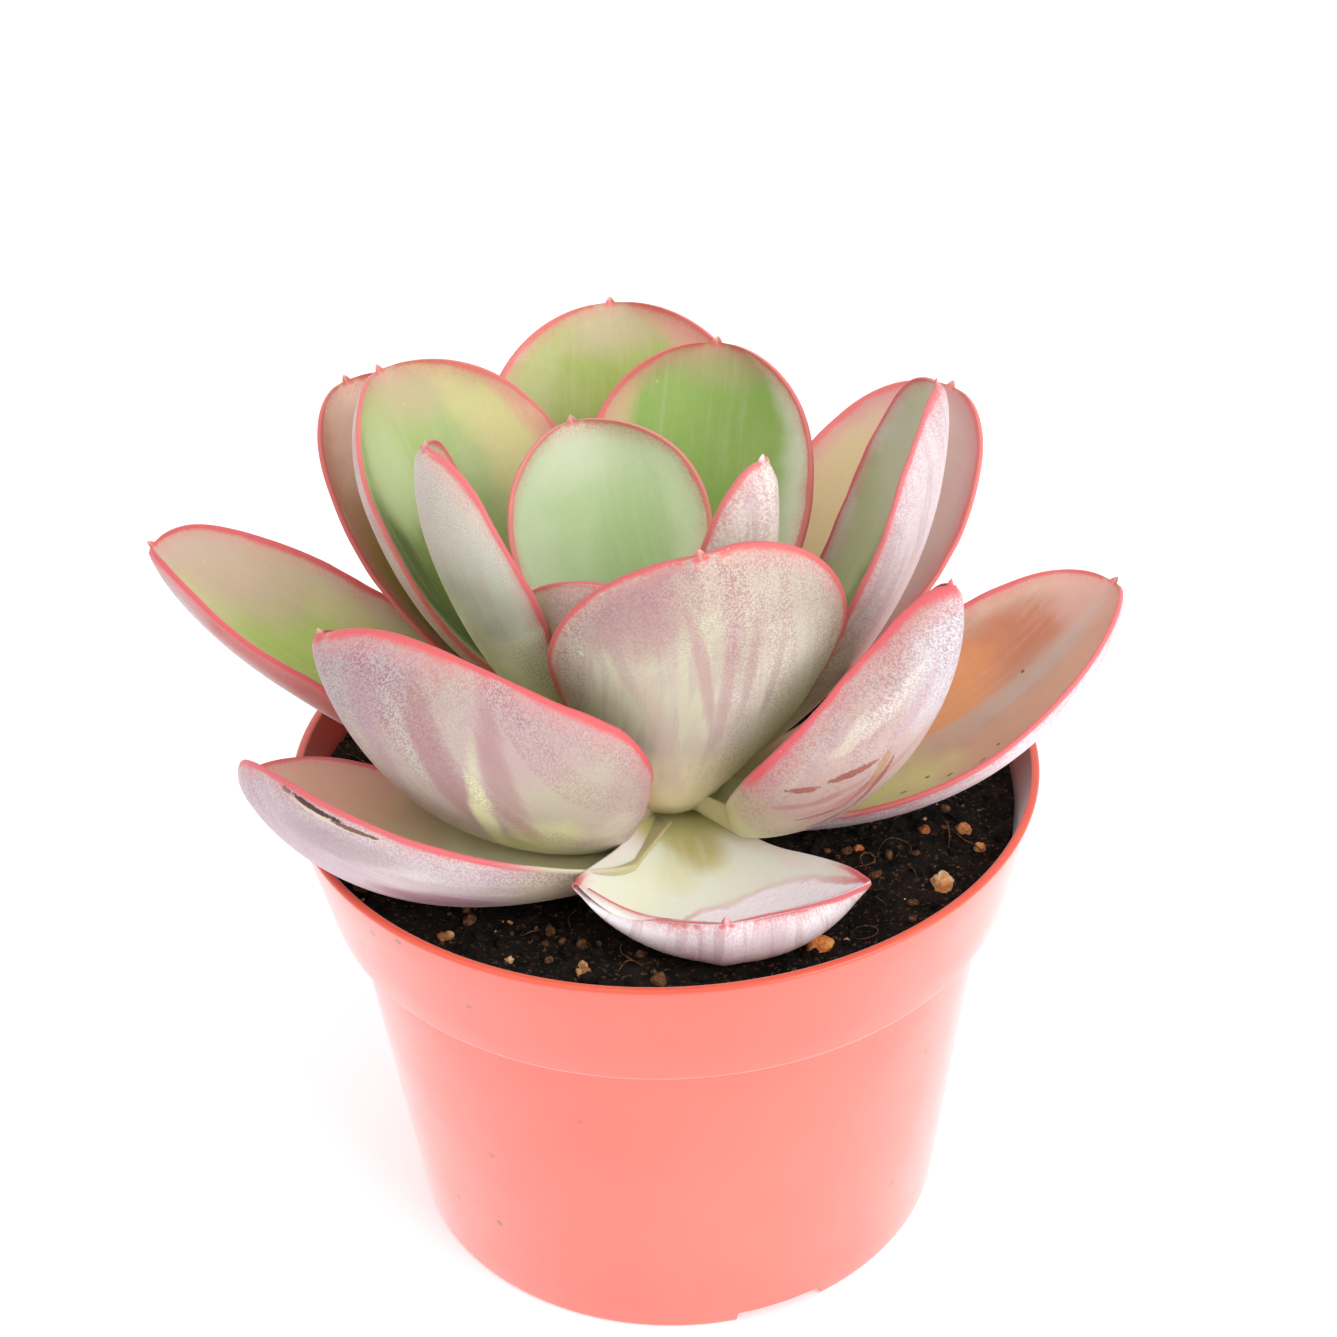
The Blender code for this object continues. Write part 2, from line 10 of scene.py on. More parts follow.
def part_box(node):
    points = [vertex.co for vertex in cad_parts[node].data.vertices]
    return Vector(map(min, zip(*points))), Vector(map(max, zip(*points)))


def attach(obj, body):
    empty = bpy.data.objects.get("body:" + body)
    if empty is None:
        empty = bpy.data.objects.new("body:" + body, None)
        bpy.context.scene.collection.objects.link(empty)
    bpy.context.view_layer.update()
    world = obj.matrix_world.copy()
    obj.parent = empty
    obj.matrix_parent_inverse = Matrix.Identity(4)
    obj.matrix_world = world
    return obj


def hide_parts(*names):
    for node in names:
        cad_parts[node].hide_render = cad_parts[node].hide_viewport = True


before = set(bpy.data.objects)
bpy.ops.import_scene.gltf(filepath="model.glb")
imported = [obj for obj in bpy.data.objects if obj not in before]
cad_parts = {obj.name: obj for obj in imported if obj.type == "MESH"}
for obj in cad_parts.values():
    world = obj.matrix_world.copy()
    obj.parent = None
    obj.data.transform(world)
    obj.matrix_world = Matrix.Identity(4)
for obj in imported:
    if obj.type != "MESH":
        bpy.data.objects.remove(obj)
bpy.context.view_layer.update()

MM = 0.001
TURN = 2.0 * np.pi
UP = np.array([0.0, 0.0, 1.0])

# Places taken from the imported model, and the pot's sizes
POT_LOW, POT_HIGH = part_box("pot")
AXIS = np.array([(POT_LOW.x + POT_HIGH.x) / 2, (POT_LOW.y + POT_HIGH.y) / 2, 0.0])
RIM_RADIUS = (POT_HIGH.x - POT_LOW.x) / 2
POT_HEIGHT = POT_HIGH.z
COLLAR_HEIGHT = 0.0177
COLLAR_FLARE = 0.0037
COLLAR_STEP = 0.0027
BASE_RADIUS = 0.040
WALL = 0.0013
FOOT_HEIGHT = 0.0024
FOOT_WIDTH = 0.0026
FLOOR_TOP = FOOT_HEIGHT + 0.0014
NOTCHES, NOTCH_BEARING = 3, np.radians(290.5)
NOTCH_LOW, NOTCH_HIGH = (0.007, -0.002), (0.0064, 0.0018)
DRAINS, DRAIN_BEARING = 6, np.radians(320.5)
DRAIN_RADIUS = 0.0035
SHARP_ANGLE = np.radians(38)
DRAIN_PLACE = 0.62 * BASE_RADIUS
COLLAR_BOTTOM = POT_HEIGHT - COLLAR_HEIGHT
COLLAR_LOW_RADIUS = RIM_RADIUS - COLLAR_FLARE
BODY_TOP_RADIUS = COLLAR_LOW_RADIUS - COLLAR_STEP
SOIL_LEVEL = POT_HEIGHT - 0.0062
STEM = AXIS + np.array([0.0, -0.005, SOIL_LEVEL])
STEM_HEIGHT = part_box("stem")[1].z - SOIL_LEVEL

# ---------------------------------------------------------------- leaf shapes
# Bearing round the stem, reach and height of the tip, height and distance out of the heel,
# then what differs from PLAIN. Millimetres and degrees, heights above the soil.
PLAIN = dict(
    width=36, thickness=3.5, bow=30, cup=(45, 45), roll=0, sway=0, swing=0, widest=0.62,
    heel_width=0.2, heel_cup=0.6, tip_round=2.3, neck=1.4, tip_curl=0, wave=0.35)
LEAVES = {
    "leaf_outer_left": (171, 69.5, 38.5, 4.0, 8.0, dict(
        width=30, cup=(38, 58), roll=-4, widest=0.56, tip_round=2.1)),
    "leaf_drooping_left": (187, 57, 13.0, 3.5, 15.0, dict(
        width=32, bow=8, cup=(50, 100), roll=8, sway=12, swing=46, widest=0.38, heel_cup=0.2,
        heel_width=0.6, neck=0.6)),
    "leaf_drooping_front": (280.5, 38.5, 9.0, 3.0, 8.0, dict(
        width=43, thickness=2.2, bow=4, tip_curl=110, cup=(46, 52), roll=-10, widest=0.7,
        heel_width=0.32, neck=2.0, tip_round=2.4)),
    "leaf_outer_right": (8, 63, 29.0, 3.5, 9.0, dict(
        width=31, bow=38, cup=(62, 38), roll=12, sway=-5, swing=-30, widest=0.58,
        tip_round=2.1, heel_width=0.4)),
    "leaf_low_back_right": (66, 58, 24.0, 3.5, 8.0, dict(width=31, bow=26)),
    "leaf_low_back_left": (108, 60, 22.0, 3.5, 8.0, dict(width=31, bow=26)),
    "leaf_back_left": (136, 62, 47.0, 5.0, 8.0, dict(thickness=3.0, bow=40)),
    "leaf_front_left": (202, 46, 40.5, 4.0, 13.0, dict(
        width=54, bow=54, cup=(80, 88), roll=27, sway=6, swing=22, widest=0.36,
        heel_width=0.25, neck=0.55, tip_round=1.25)),
    "leaf_front_right": (341, 39, 42.0, 5.5, 14.0, dict(
        width=34, bow=66, cup=(86, 90), roll=-18, sway=-5, swing=-20, widest=0.4,
        heel_width=0.25, neck=0.7, tip_round=1.6)),
    "leaf_back_right": (42, 58, 45.0, 5.5, 7.0, dict(
        width=33, bow=38, cup=(35, 35))),
    "leaf_back": (96, 57, 52.0, 6.0, 7.0, dict(width=43, bow=42, cup=(40, 24))),
    "leaf_mid_left": (140, 50, 53.5, 8.0, 6.5, dict(
        width=44, bow=44, cup=(35, 60))),
    "leaf_mid_right": (15.5, 38.5, 59.0, 8.0, 7.0, dict(
        width=28, bow=60, cup=(64, 32), roll=-8)),
    "leaf_front": (285, 19.5, 51.0, 9.5, 7.0, dict(
        width=41, bow=32, cup=(46, 26), roll=2, sway=1.5, widest=0.6, tip_round=1.8,
        heel_width=0.35, neck=1.1)),
    "leaf_mid_back": (76, 39, 53.5, 10.0, 5.5, dict(
        width=36, bow=32, roll=-3)),
    "leaf_inner_left": (184, 29, 58.5, 10.0, 5.5, dict(
        width=25, bow=48, cup=(58, 72), roll=10, tip_round=1.8)),
    "leaf_inner_back": (117, 25, 49.5, 13.0, 4.5, dict(width=33, bow=25, cup=(56, 50))),
    "leaf_inner_front": (250, 13, 43.0, 13.0, 4.5, dict(
        width=39, bow=34, cup=(50, 40), roll=8, sway=1)),
    "leaf_inner_right": (333, 15.0, 57.5, 14.0, 4.5, dict(
        width=20, bow=15, cup=(60, 60), roll=-10, widest=0.42, tip_round=1.3)),
    "leaf_heart_left": (205, 6.5, 36.0, 16.0, 2.8, dict(
        width=13, thickness=2.6, bow=24, cup=(60, 60), heel_width=0.45, wave=0.1)),
    "leaf_heart_back": (75, 6.5, 33.0, 16.5, 2.6, dict(
        width=12, thickness=2.4, bow=24, cup=(60, 60), heel_width=0.45, wave=0.1)),
    "leaf_heart_right": (325, 4.5, 29.0, 17.0, 2.4, dict(
        width=9, thickness=2.2, bow=24, cup=(60, 60), heel_width=0.45, wave=0.1)),
}
STATIONS = 84  # rings of points along a blade
ACROSS = 41  # points across each face
LEAST_HALF = 0.55
HEEL = 3.0  # how far the heel runs on into the stem
HEEL_MEETS = 5.5
HEEL_TAPER = 0.75
MARGIN = 0.7
POINT = 0.9
POINT_RINGS = ((0.3, 0.85), (0.6, 0.6), (0.85, 0.32), (1.0, 0.1))
CURL_FROM = 0.6
ROUND_TURNS = (60, 0, -60)  # places round the rounded margin, in degrees
BEFORE_HEEL = -0.02  # place along the blade given to the rings behind its heel


def smooth_noise(points, seed):
    """Noise from -1 to 1 at each row of points."""
    shift = Vector((seed * 7.31, seed * 3.17, seed * 1.93))
    return np.array([noise.noise(Vector(p) + shift) for p in points])


def step(low, high, value):
    t = np.clip((value - low) / (high - low), 0.0, 1.0)
    return t * t * (3.0 - 2.0 * t)


def running_sum(values, places):
    """The area under the values from the first place up to each."""
    steps = 0.5 * (values[1:] + values[:-1]) * np.diff(places)
    return np.concatenate([[0.0], np.cumsum(steps)])


def tube_faces(rings, sides, base=0, caps=True):
    """Faces that join closed rings of points, one after another, with a cap at each end."""
    faces = []
    for low in range(base, base + (rings - 1) * sides, sides):
        for k in range(sides):
            a, b = low + k, low + (k + 1) % sides
            faces.append((a, b, b + sides, a + sides))
    if caps:
        last = base + (rings - 1) * sides
        faces.append(tuple(range(base + sides - 1, base - 1, -1)))
        faces.append(tuple(range(last, last + sides)))
    return faces


def half_width_share(along, leaf):
    rise = np.sin(0.5 * np.pi * np.clip(along / leaf["widest"], 0.0, 1.0)) ** leaf["neck"]
    near = leaf["heel_width"] + (1.0 - leaf["heel_width"]) * rise
    past = np.clip((along - leaf["widest"]) / (1.0 - leaf["widest"]), 0.0, 1.0)
    far = np.sqrt(np.clip(1.0 - past ** leaf["tip_round"], 0.0, 1.0))
    return np.where(along < leaf["widest"], near, far)


def midrib(row, leaf, along):
    """Places on the midrib, with the directions along it, across it and out of the upper face."""
    bearing, reach, tip_height, heel_height, heel_out = row[:5]
    stem = STEM / MM
    angle = np.radians(bearing)
    heel_angle = np.radians(bearing + leaf["swing"])
    heel = stem + np.array([
        heel_out * np.cos(heel_angle), heel_out * np.sin(heel_angle), heel_height])
    tip = stem + np.array([reach * np.cos(angle), reach * np.sin(angle), tip_height])
    span = np.linalg.norm(tip - heel)
    ahead = (tip - heel) / span
    across = np.cross(UP, ahead)
    across /= np.linalg.norm(across)
    out = np.cross(ahead, across)
    fine = np.linspace(0.0, 1.0, 401)
    turned = np.clip((fine - CURL_FROM) / (1.0 - CURL_FROM), 0.0, 1.0)
    slope = np.radians(leaf["bow"] * fine + leaf["tip_curl"] * turned ** 1.5)
    forward = running_sum(np.cos(slope), fine)
    sag = running_sum(np.sin(slope), fine)
    length = span / np.hypot(forward[-1], sag[-1])
    lean = np.arctan2(sag[-1], forward[-1])
    slope = np.interp(along, fine, slope) - lean
    run = length * np.interp(along, fine, np.cos(lean) * forward + np.sin(lean) * sag)
    rise = length * np.interp(along, fine, np.cos(lean) * sag - np.sin(lean) * forward)
    drift = leaf["sway"] * np.sin(np.pi * along)
    drift_rate = leaf["sway"] * np.pi * np.cos(np.pi * along) / length
    place = heel + np.outer(run, ahead) + np.outer(rise, out) + np.outer(drift, across)
    tangent = (np.outer(np.cos(slope), ahead) + np.outer(np.sin(slope), out)
               + np.outer(drift_rate, across))
    tangent /= np.linalg.norm(tangent, axis=1, keepdims=True)
    side = across - np.outer(tangent @ across, [1, 1, 1]) * tangent
    side /= np.linalg.norm(side, axis=1, keepdims=True)
    upper = np.cross(tangent, side)
    roll = np.radians(leaf["roll"])
    wide = np.cos(roll) * side + np.sin(roll) * upper
    upper = np.cos(roll) * upper - np.sin(roll) * side
    return place, tangent, wide, upper, length


def margin_distance(s, t, outline):
    """Distance from the margin, measured on the flattened blade."""
    edge = np.empty(len(s))
    for start in range(0, len(s), 800):
        block = slice(start, start + 800)
        gap = np.hypot(s[block, None] - outline[0], t[block, None] - outline[1])
        edge[block] = gap.min(axis=1)
    return edge


def leaf_mesh(row, seed):
    """A blade with a rounded margin, a keel under its tip and a small point, closed all round.
    Each point carries its place on the blade: along, across, distance from the margin and face."""
    leaf = {**PLAIN, **row[5]}
    even = np.linspace(0.0, 1.0, STATIONS)
    along = 0.72 * np.sin(0.5 * np.pi * even) + 0.28 * even
    place, tangent, wide, upper, length = midrib(row, leaf, along)
    half = half_width_share(along, leaf) * leaf["width"] / 2.0
    half = np.maximum(half, LEAST_HALF)
    thick = leaf["thickness"] * (1.1 - 0.3 * along) * np.sqrt(np.clip(1.0 - along ** 5, 0.02, 1))
    grow = leaf["heel_cup"] + (1.0 - leaf["heel_cup"]) * np.sin(
        0.5 * np.pi * np.clip(along / 0.8, 0.0, 1.0))
    spread = np.linspace(-1.0, 1.0, ACROSS)
    spread = 0.75 * spread + 0.25 * np.sin(0.5 * np.pi * spread)
    share = np.abs(spread)
    left = (spread > 0).astype(int)
    # the margin's waviness, stronger towards the edge
    grid = [(a * length * 0.075, v * 1.1, 0.0) for a in along for v in (-1.0, 1.0)]
    wave = 2.2 * smooth_noise(grid, seed)
    wave += 0.5 * smooth_noise([(p[0] * 3.1, p[1], 4.0) for p in grid], seed)
    wave = wave.reshape(STATIONS, 2)
    rings, data = [], []
    for k in range(STATIONS):
        angle = np.radians(np.array(leaf["cup"]))[left] * grow[k]
        bend = angle * spread
        fade = step(0.0, 0.25, along[k]) * min(1.0, half[k] / 6.0)
        run = np.sin(bend) / angle * half[k]
        rise = (1.0 - np.cos(bend)) / angle * half[k]
        rise = rise + leaf["wave"] * fade * wave[k, left] * share ** 3
        normal = np.outer(np.cos(bend), upper[k]) - np.outer(np.sin(bend), wide[k])
        top = place[k] + np.outer(run, wide[k]) + np.outer(rise, upper[k])
        depth = thick[k] * min(1.0, half[k] / 4.0) * (1.0 - share ** 2.4) ** 0.6
        keel = 0.5 * step(0.55, 0.95, along[k]) * np.exp(-(spread * half[k] / 1.6) ** 2)
        depth = depth + keel * min(1.0, half[k] / 3.0)
        rim = MARGIN * min(1.0, half[k] / 1.5)
        depth = np.maximum(depth, rim)
        under = top - normal * depth[:, None]
        ring, info = [], []
        for end, sign, surface in ((-1, 1, top), (0, -1, under[::-1])):
            ring += list(surface)
            info += [(v, max(sign, 0.0)) for v in spread[::sign]]
            outward = sign * (np.cos(bend[end]) * wide[k] + np.sin(bend[end]) * upper[k])
            middle = 0.5 * (top[end] + under[end])
            for turn in ROUND_TURNS:
                t = np.radians(turn * sign)
                ring.append(middle + rim / 2 * (np.cos(t) * outward + np.sin(t) * normal[end]))
                info.append((float(sign), 0.5 + turn * sign / 150.0))
        rings.append(np.array(ring))
        data.append([(along[k], v, side, half[k]) for v, side in info])
    # the heel, which runs on to the stem where it starts far out
    behind = [(BEFORE_HEEL, *entry[1:]) for entry in data[0]]
    heel_ring = rings[0]
    heel_back = heel_ring - tangent[0] * HEEL
    if row[4] - HEEL > HEEL_MEETS:
        middle = heel_ring.mean(axis=0)
        inward = (STEM / MM - place[0]) * (1.0, 1.0, 0.0) * (1.0 - HEEL_MEETS / row[4])
        for share_in in (0.33, 0.66):
            size = 1.0 - (1.0 - HEEL_TAPER) * share_in
            rings.insert(0, middle + (heel_ring - middle) * size + inward * share_in)
            data.insert(0, behind)
        heel_back = middle + (heel_ring - middle) * HEEL_TAPER + inward
    rings.insert(0, heel_back)
    data.insert(0, behind)
    # the small point at the tip
    middle = rings[-1].mean(axis=0)
    body = rings[-1] - middle
    for share_out, size in POINT_RINGS:
        rings.append(middle + body * size + tangent[-1] * POINT * share_out)
        data.append([(1.0 + 0.01 * share_out, *entry[1:]) for entry in data[-1]])
    info = np.array([entry for ring in data for entry in ring])
    s = info[:, 0] * length
    t = info[:, 1] * info[:, 3]
    outline = (np.concatenate([along * length, along[::-1] * length]),
               np.concatenate([half, -half[::-1]]))
    edge = np.where(np.abs(info[:, 1]) >= 0.999, 0.0, margin_distance(s, t, outline))
    faces = tube_faces(len(rings), len(rings[0]))
    return np.concatenate(rings) * MM, faces, dict(
        leaf_along=info[:, 0], leaf_across=info[:, 1], leaf_face=info[:, 2], leaf_edge=edge,
        leaf_s=s, leaf_t=t)


# ---------------------------------------------------------------- making pieces
def add_piece(name, points, faces, node=None, slot=None, smooth=True):
    mesh = bpy.data.meshes.new(name)
    mesh.from_pydata([tuple(p) for p in points], [], faces)
    mesh.update()
    work = bmesh.new()
    work.from_mesh(mesh)
    bmesh.ops.recalc_face_normals(work, faces=work.faces)
    if work.calc_volume(signed=True) < 0:
        bmesh.ops.reverse_faces(work, faces=work.faces)
    work.to_mesh(mesh)
    work.free()
    if smooth:
        mesh.polygons.foreach_set("use_smooth", [True] * len(mesh.polygons))
    obj = bpy.data.objects.new(name, mesh)
    bpy.context.scene.collection.objects.link(obj)
    if node:
        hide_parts(node)
    return obj


def set_attribute(obj, name, values, kind="FLOAT", field="value"):
    layer = obj.data.attributes.new(name, kind, "POINT")
    layer.data.foreach_set(field, np.asarray(values, np.float32).ravel())


def dress(obj, material):
    obj.data.materials.append(material)
    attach(obj, "root")


# ---------------------------------------------------------------- materials
def linear(tone):
    """A displayed colour, as 0xRRGGBB, as the linear value that a shader takes."""
    c = np.array([tone >> 16, tone >> 8 & 255, tone & 255]) / 255.0
    c = np.where(c <= 0.04045, c / 12.92, ((c + 0.055) / 1.055) ** 2.4)
    return (*c, 1.0)


class Wire:
    """A node's output, which can be added, subtracted, multiplied and divided as a number can."""

    def __init__(self, shader, socket):
        self.shader = shader
        self.socket = socket

    def __add__(self, other):
        return self.shader.math("ADD", self, other)

    def __sub__(self, other):
        return self.shader.math("SUBTRACT", self, other)

    def __mul__(self, other):
        return self.shader.math("MULTIPLY", self, other)

    def __truediv__(self, other):
        return self.shader.math("DIVIDE", self, other)


class Shader:
    """A node material, built up node by node."""

    def __init__(self, name):
        self.material = bpy.data.materials.new(name)
        self.material.use_nodes = True
        self.tree = self.material.node_tree
        self.principled = self.tree.nodes["Principled BSDF"]

    def put(self, socket, value):
        if isinstance(value, Wire):
            self.tree.links.new(value.socket, socket)
        else:
            socket.default_value = value

    def node(self, kind, inputs, output=0, **settings):
        """One output of a new node, with its inputs set or linked."""
        made = self.tree.nodes.new("ShaderNode" + kind)
        for key, value in settings.items():
            setattr(made, key, value)
        for key, value in inputs.items():
            self.put(made.inputs[key], value)
        return Wire(self, made.outputs[output])

    def attribute(self, name, kind="Fac"):
        return self.node("Attribute", {}, kind, attribute_name=name)

    def place(self):
        return self.node("TexCoord", {}, "Object")

    def math(self, operation, *values, clamp=False):
        return self.node("Math", dict(enumerate(values)), operation=operation, use_clamp=clamp)

    def step(self, value, low, high, to_low=0.0, to_high=1.0):
        if high < low:
            low, high, to_low, to_high = high, low, to_high, to_low
        return self.node("MapRange", {
            "Value": value, "From Min": low, "From Max": high, "To Min": to_low,
            "To Max": to_high}, "Result", interpolation_type="SMOOTHSTEP")

    def noise(self, vector, scale, detail=2.0, rough=0.5):
        return self.node("TexNoise", {
            "Vector": vector, "Scale": scale, "Detail": detail, "Roughness": rough}, "Fac")

    def cells(self, vector, scale):
        return self.node("TexVoronoi", {"Vector": vector, "Scale": scale}, "Distance")

    def mix(self, share, a, b):
        a, b = (linear(tone) if isinstance(tone, int) else tone for tone in (a, b))
        return self.node("Mix", {0: share, 6: a, 7: b}, 2, data_type="RGBA")

    def bump(self, height, strength, distance, **normal):
        return self.node("Bump", {
            "Strength": strength, "Distance": distance, "Height": height, **normal}, "Normal")

    def set(self, **values):
        for key, value in values.items():
            self.put(self.principled.inputs[key.replace("_", " ")], value)

    def done(self, colour, roughness, normal, specular, **values):
        self.set(Base_Color=colour, Roughness=roughness, Normal=normal,
                 Specular_IOR_Level=specular, **values)
        return self.material


def blot_reach(s, t, at_s, at_t, size_s, size_t, slant=0.0):
    """Squared distance from a place on a blade, against the size of a patch each way."""
    ds = s - at_s
    dt = (t - at_t) - ds * slant
    ds, dt = ds / size_s, dt / size_t
    return ds * ds + dt * dt


def leaf_material(name, look):
    """Leaf skin: an upper face with soft zones, an under face with bloom, stipple and pale
    stripes, a coral margin, a pale heel, and its own marks."""
    look = {**LOOK, **look}
    sh = Shader(name + "_skin")
    s, t, along, across, edge, face = (sh.attribute("leaf_" + key) for key in (
        "s", "t", "along", "across", "edge", "face"))
    place = sh.attribute("leaf_map", "Vector")
    long_map = sh.node("VectorMath", {0: place, 1: (1.0, 0.09, 1.0)}, operation="MULTIPLY")
    streak = sh.noise(long_map, 0.22, 3.0, 0.55)
    fine_streak = sh.noise(long_map, 0.9, 2.0, 0.5)
    cloud = sh.noise(place, 0.11, 3.0, 0.55)
    stipple = sh.noise(place, 4.6, 1.0, 0.5)
    patch = sh.noise(place, 0.5, 3.0, 0.6)
    uneven = cloud - 0.5
    cloud_share = sh.step(cloud, 0.35, 0.7)

    def zoned(colour, zones):
        """Soft zones: tone, centre and size as shares of the blade each way, strength."""
        for tone, *spot, strength in zones:
            reach = blot_reach(along, across, *spot)
            colour = sh.mix(sh.step(reach + uneven * 1.6, 1.5, 0.1, 0.0, strength), colour, tone)
        return colour

    # upper face
    # deeper green towards the heel and away from the margin: partly the leaf's own colour, partly
    # painted shade
    deep_and_shade = sh.step(along, 0.72, 0.2) * sh.step(edge, 1.5, 7.0) * sh.step(streak, 0.25, 0.6, 0.5)
    inner = sh.mix(cloud_share, look["inner"], look["inner2"])
    inner = sh.mix(deep_and_shade, inner, look["deep_and_shade"])
    inner = sh.mix(sh.step(edge + uneven * 9.0, look["border_mm"], 0.5), inner, look["border"])
    inner = zoned(inner, look["zones"])
    inner = sh.mix(sh.step(fine_streak, 0.45, 0.8, 0.0, 0.25), inner, look["streak"])

    # under face
    stripes = sh.step(streak, look["stripe_at"], look["stripe_at"] + 0.05)
    stripes = stripes * sh.step(edge, 1.5, 5.0)
    outer = sh.mix(cloud_share, look["outer"], look["outer2"])
    outer = sh.mix(stripes * look["stripe_share"], outer, look["stripe"])
    outer = sh.mix(sh.step(fine_streak, 0.52, 0.62, 0.0, look["vein_share"]), outer, look["vein"])
    outer = zoned(outer, look["under_zones"])
    ragged = (fine_streak - 0.5) * 2.0
    for *spot, tone, strength in look["bars"]:
        reach = blot_reach(s, t, *spot) + ragged
        outer = sh.mix(sh.step(reach, 1.9, 0.1, 0.0, strength), outer, tone)
    density = sh.math("MAXIMUM", sh.step(edge, 7.0, 0.0), sh.step(along, 0.5, 0.98))
    density = density * sh.step(patch, 0.3, 0.62, 0.5)
    density = (density + sh.step(streak, 0.52, 0.38, 0.12, 0.6)) * look["speckle"]
    dots = sh.math("MULTIPLY", sh.step(stipple, 0.38, 0.62), density, clamp=True)
    outer = sh.mix(dots, outer, look["speck"])

    colour = sh.mix(sh.step(face, 0.3, 0.7), outer, inner)
    # heel
    heel = sh.step(along + uneven * 0.12, look["heel_at"] + 0.16, look["heel_at"])
    colour = sh.mix(heel, colour, look["heel"])
    # margin, thick and thin in turn
    width = sh.math("MULTIPLY_ADD", cloud, look["margin_mm"] * 2.3, look["margin_mm"] * -0.28)
    width = sh.math("MAXIMUM", width, look["margin_mm"] * 0.3)
    ratio = edge / (width * sh.step(face, 0.2, 0.8, look["margin_under"]))
    grown = sh.step(along, look["margin_from"], look["margin_from"] + 0.14)
    flush = sh.step(ratio, 4.2, 0.4) * grown * sh.step(stipple, 0.4, 0.6, 0.15, 0.6)
    colour = sh.mix(flush, colour, look["flush"])
    band = sh.step(ratio, 1.25, 0.3) * grown
    colour = sh.mix(band * look["margin_share"], colour, look["margin"])
    # flecks and marks
    fleck = sh.step(sh.cells(place, 0.55), 0.16, 0.08)
    fleck = fleck * sh.step(patch, 0.55, 0.7, 0.0, look["flecks"])
    colour = sh.mix(fleck, colour, 0xECE2D6)
    ragged = (sh.noise(place, 1.9, 4.0, 0.7) - 0.5) * 3.0
    upper_side = sh.step(face, 0.35, 0.65)
    under_side = sh.step(face, 0.65, 0.35)
    scarred = None
    for *spot, tone, strength, on_face in look["marks"]:
        reach = blot_reach(s, t, *spot) + ragged
        share = sh.step(reach, 1.3, 0.6) * strength
        share = share * (upper_side if on_face == "upper" else under_side)
        colour = sh.mix(share, colour, tone)
        scarred = sh.math("MAXIMUM", scarred, share) if scarred else share
    # a lobe that has folded over and shows its under face, edged by a fold line
    if look["lobe"]:
        centre, radius, tone, line_tone = look["lobe"]
        reach = blot_reach(s, t, *centre, radius, radius) + uneven * 0.5
        share = sh.step(reach, 1.05, 0.93) * upper_side
        lilac = sh.mix(sh.step(streak, 0.4, 0.65) * 0.6, tone, look["outer"])
        colour = sh.mix(share, colour, lilac)
        line = sh.step(sh.math("ABSOLUTE", reach - 1.03), 0.11, 0.02)
        line = line * sh.step(s, 15.0, 27.0, 0.12, 0.9)
        colour = sh.mix(line * upper_side, colour, line_tone)
        scarred = sh.math("MAXIMUM", scarred, share)
    # dry point at the tip
    dry = along + (patch - 0.5) * 0.05
    colour = sh.mix(sh.step(dry, look["tip_at"], look["tip_at"] + 0.012), colour, look["tip"])

    roughness = sh.step(sh.noise(place, 0.7, 4.0, 0.6), 0.3, 0.7, 0.44, 0.6)
    height = stipple * 0.5 + sh.noise(place, 0.8, 2.0) * 0.9 + fine_streak * 0.8
    normal = sh.bump(height, 0.45, 0.00012)
    if scarred:
        normal = sh.bump(scarred * sh.noise(place, 1.6, 3.0), 0.6, 0.0003, Normal=normal)
    sh.set(Sheen_Weight=0.08, Sheen_Roughness=0.45)
    sh.set(Subsurface_Weight=0.2, Subsurface_Scale=0.002, Subsurface_Radius=(1.0, 0.85, 0.5))
    return sh.done(colour, roughness, normal, 0.4)


# Colours, and where each leaf departs from LOOK. Zones: tone, place along and across, size
# along and across, strength, as shares of the blade. Bars and marks: place and size in mm
# along and across, slant, tone, strength, and for a mark the face that it is on.
CORAL = 0xE46868
LOOK = dict(
    inner=0xB2C482, inner2=0xBEC88C, deep_and_shade=0x8CA056, border=0xD2B8A6, border_mm=5, zones=(),
    under_zones=(), streak=0xCECCA8, outer=0xD4C2BE, outer2=0xCAB6B6, stripe=0xCECAAC,
    stripe_at=0.56, stripe_share=0.8, vein=0xBEA6AA, vein_share=0.4, speckle=0.4, speck=0xB0828C,
    heel=0xCAC696, heel_at=0.02, margin=CORAL, margin_mm=0.62, margin_under=0.8, margin_share=0.9,
    margin_from=0.16, flush=0xDE8A8C, flecks=0.3, marks=(), bars=(), lobe=None, tip=0xDEB0A2,
    tip_at=1.0015,
)
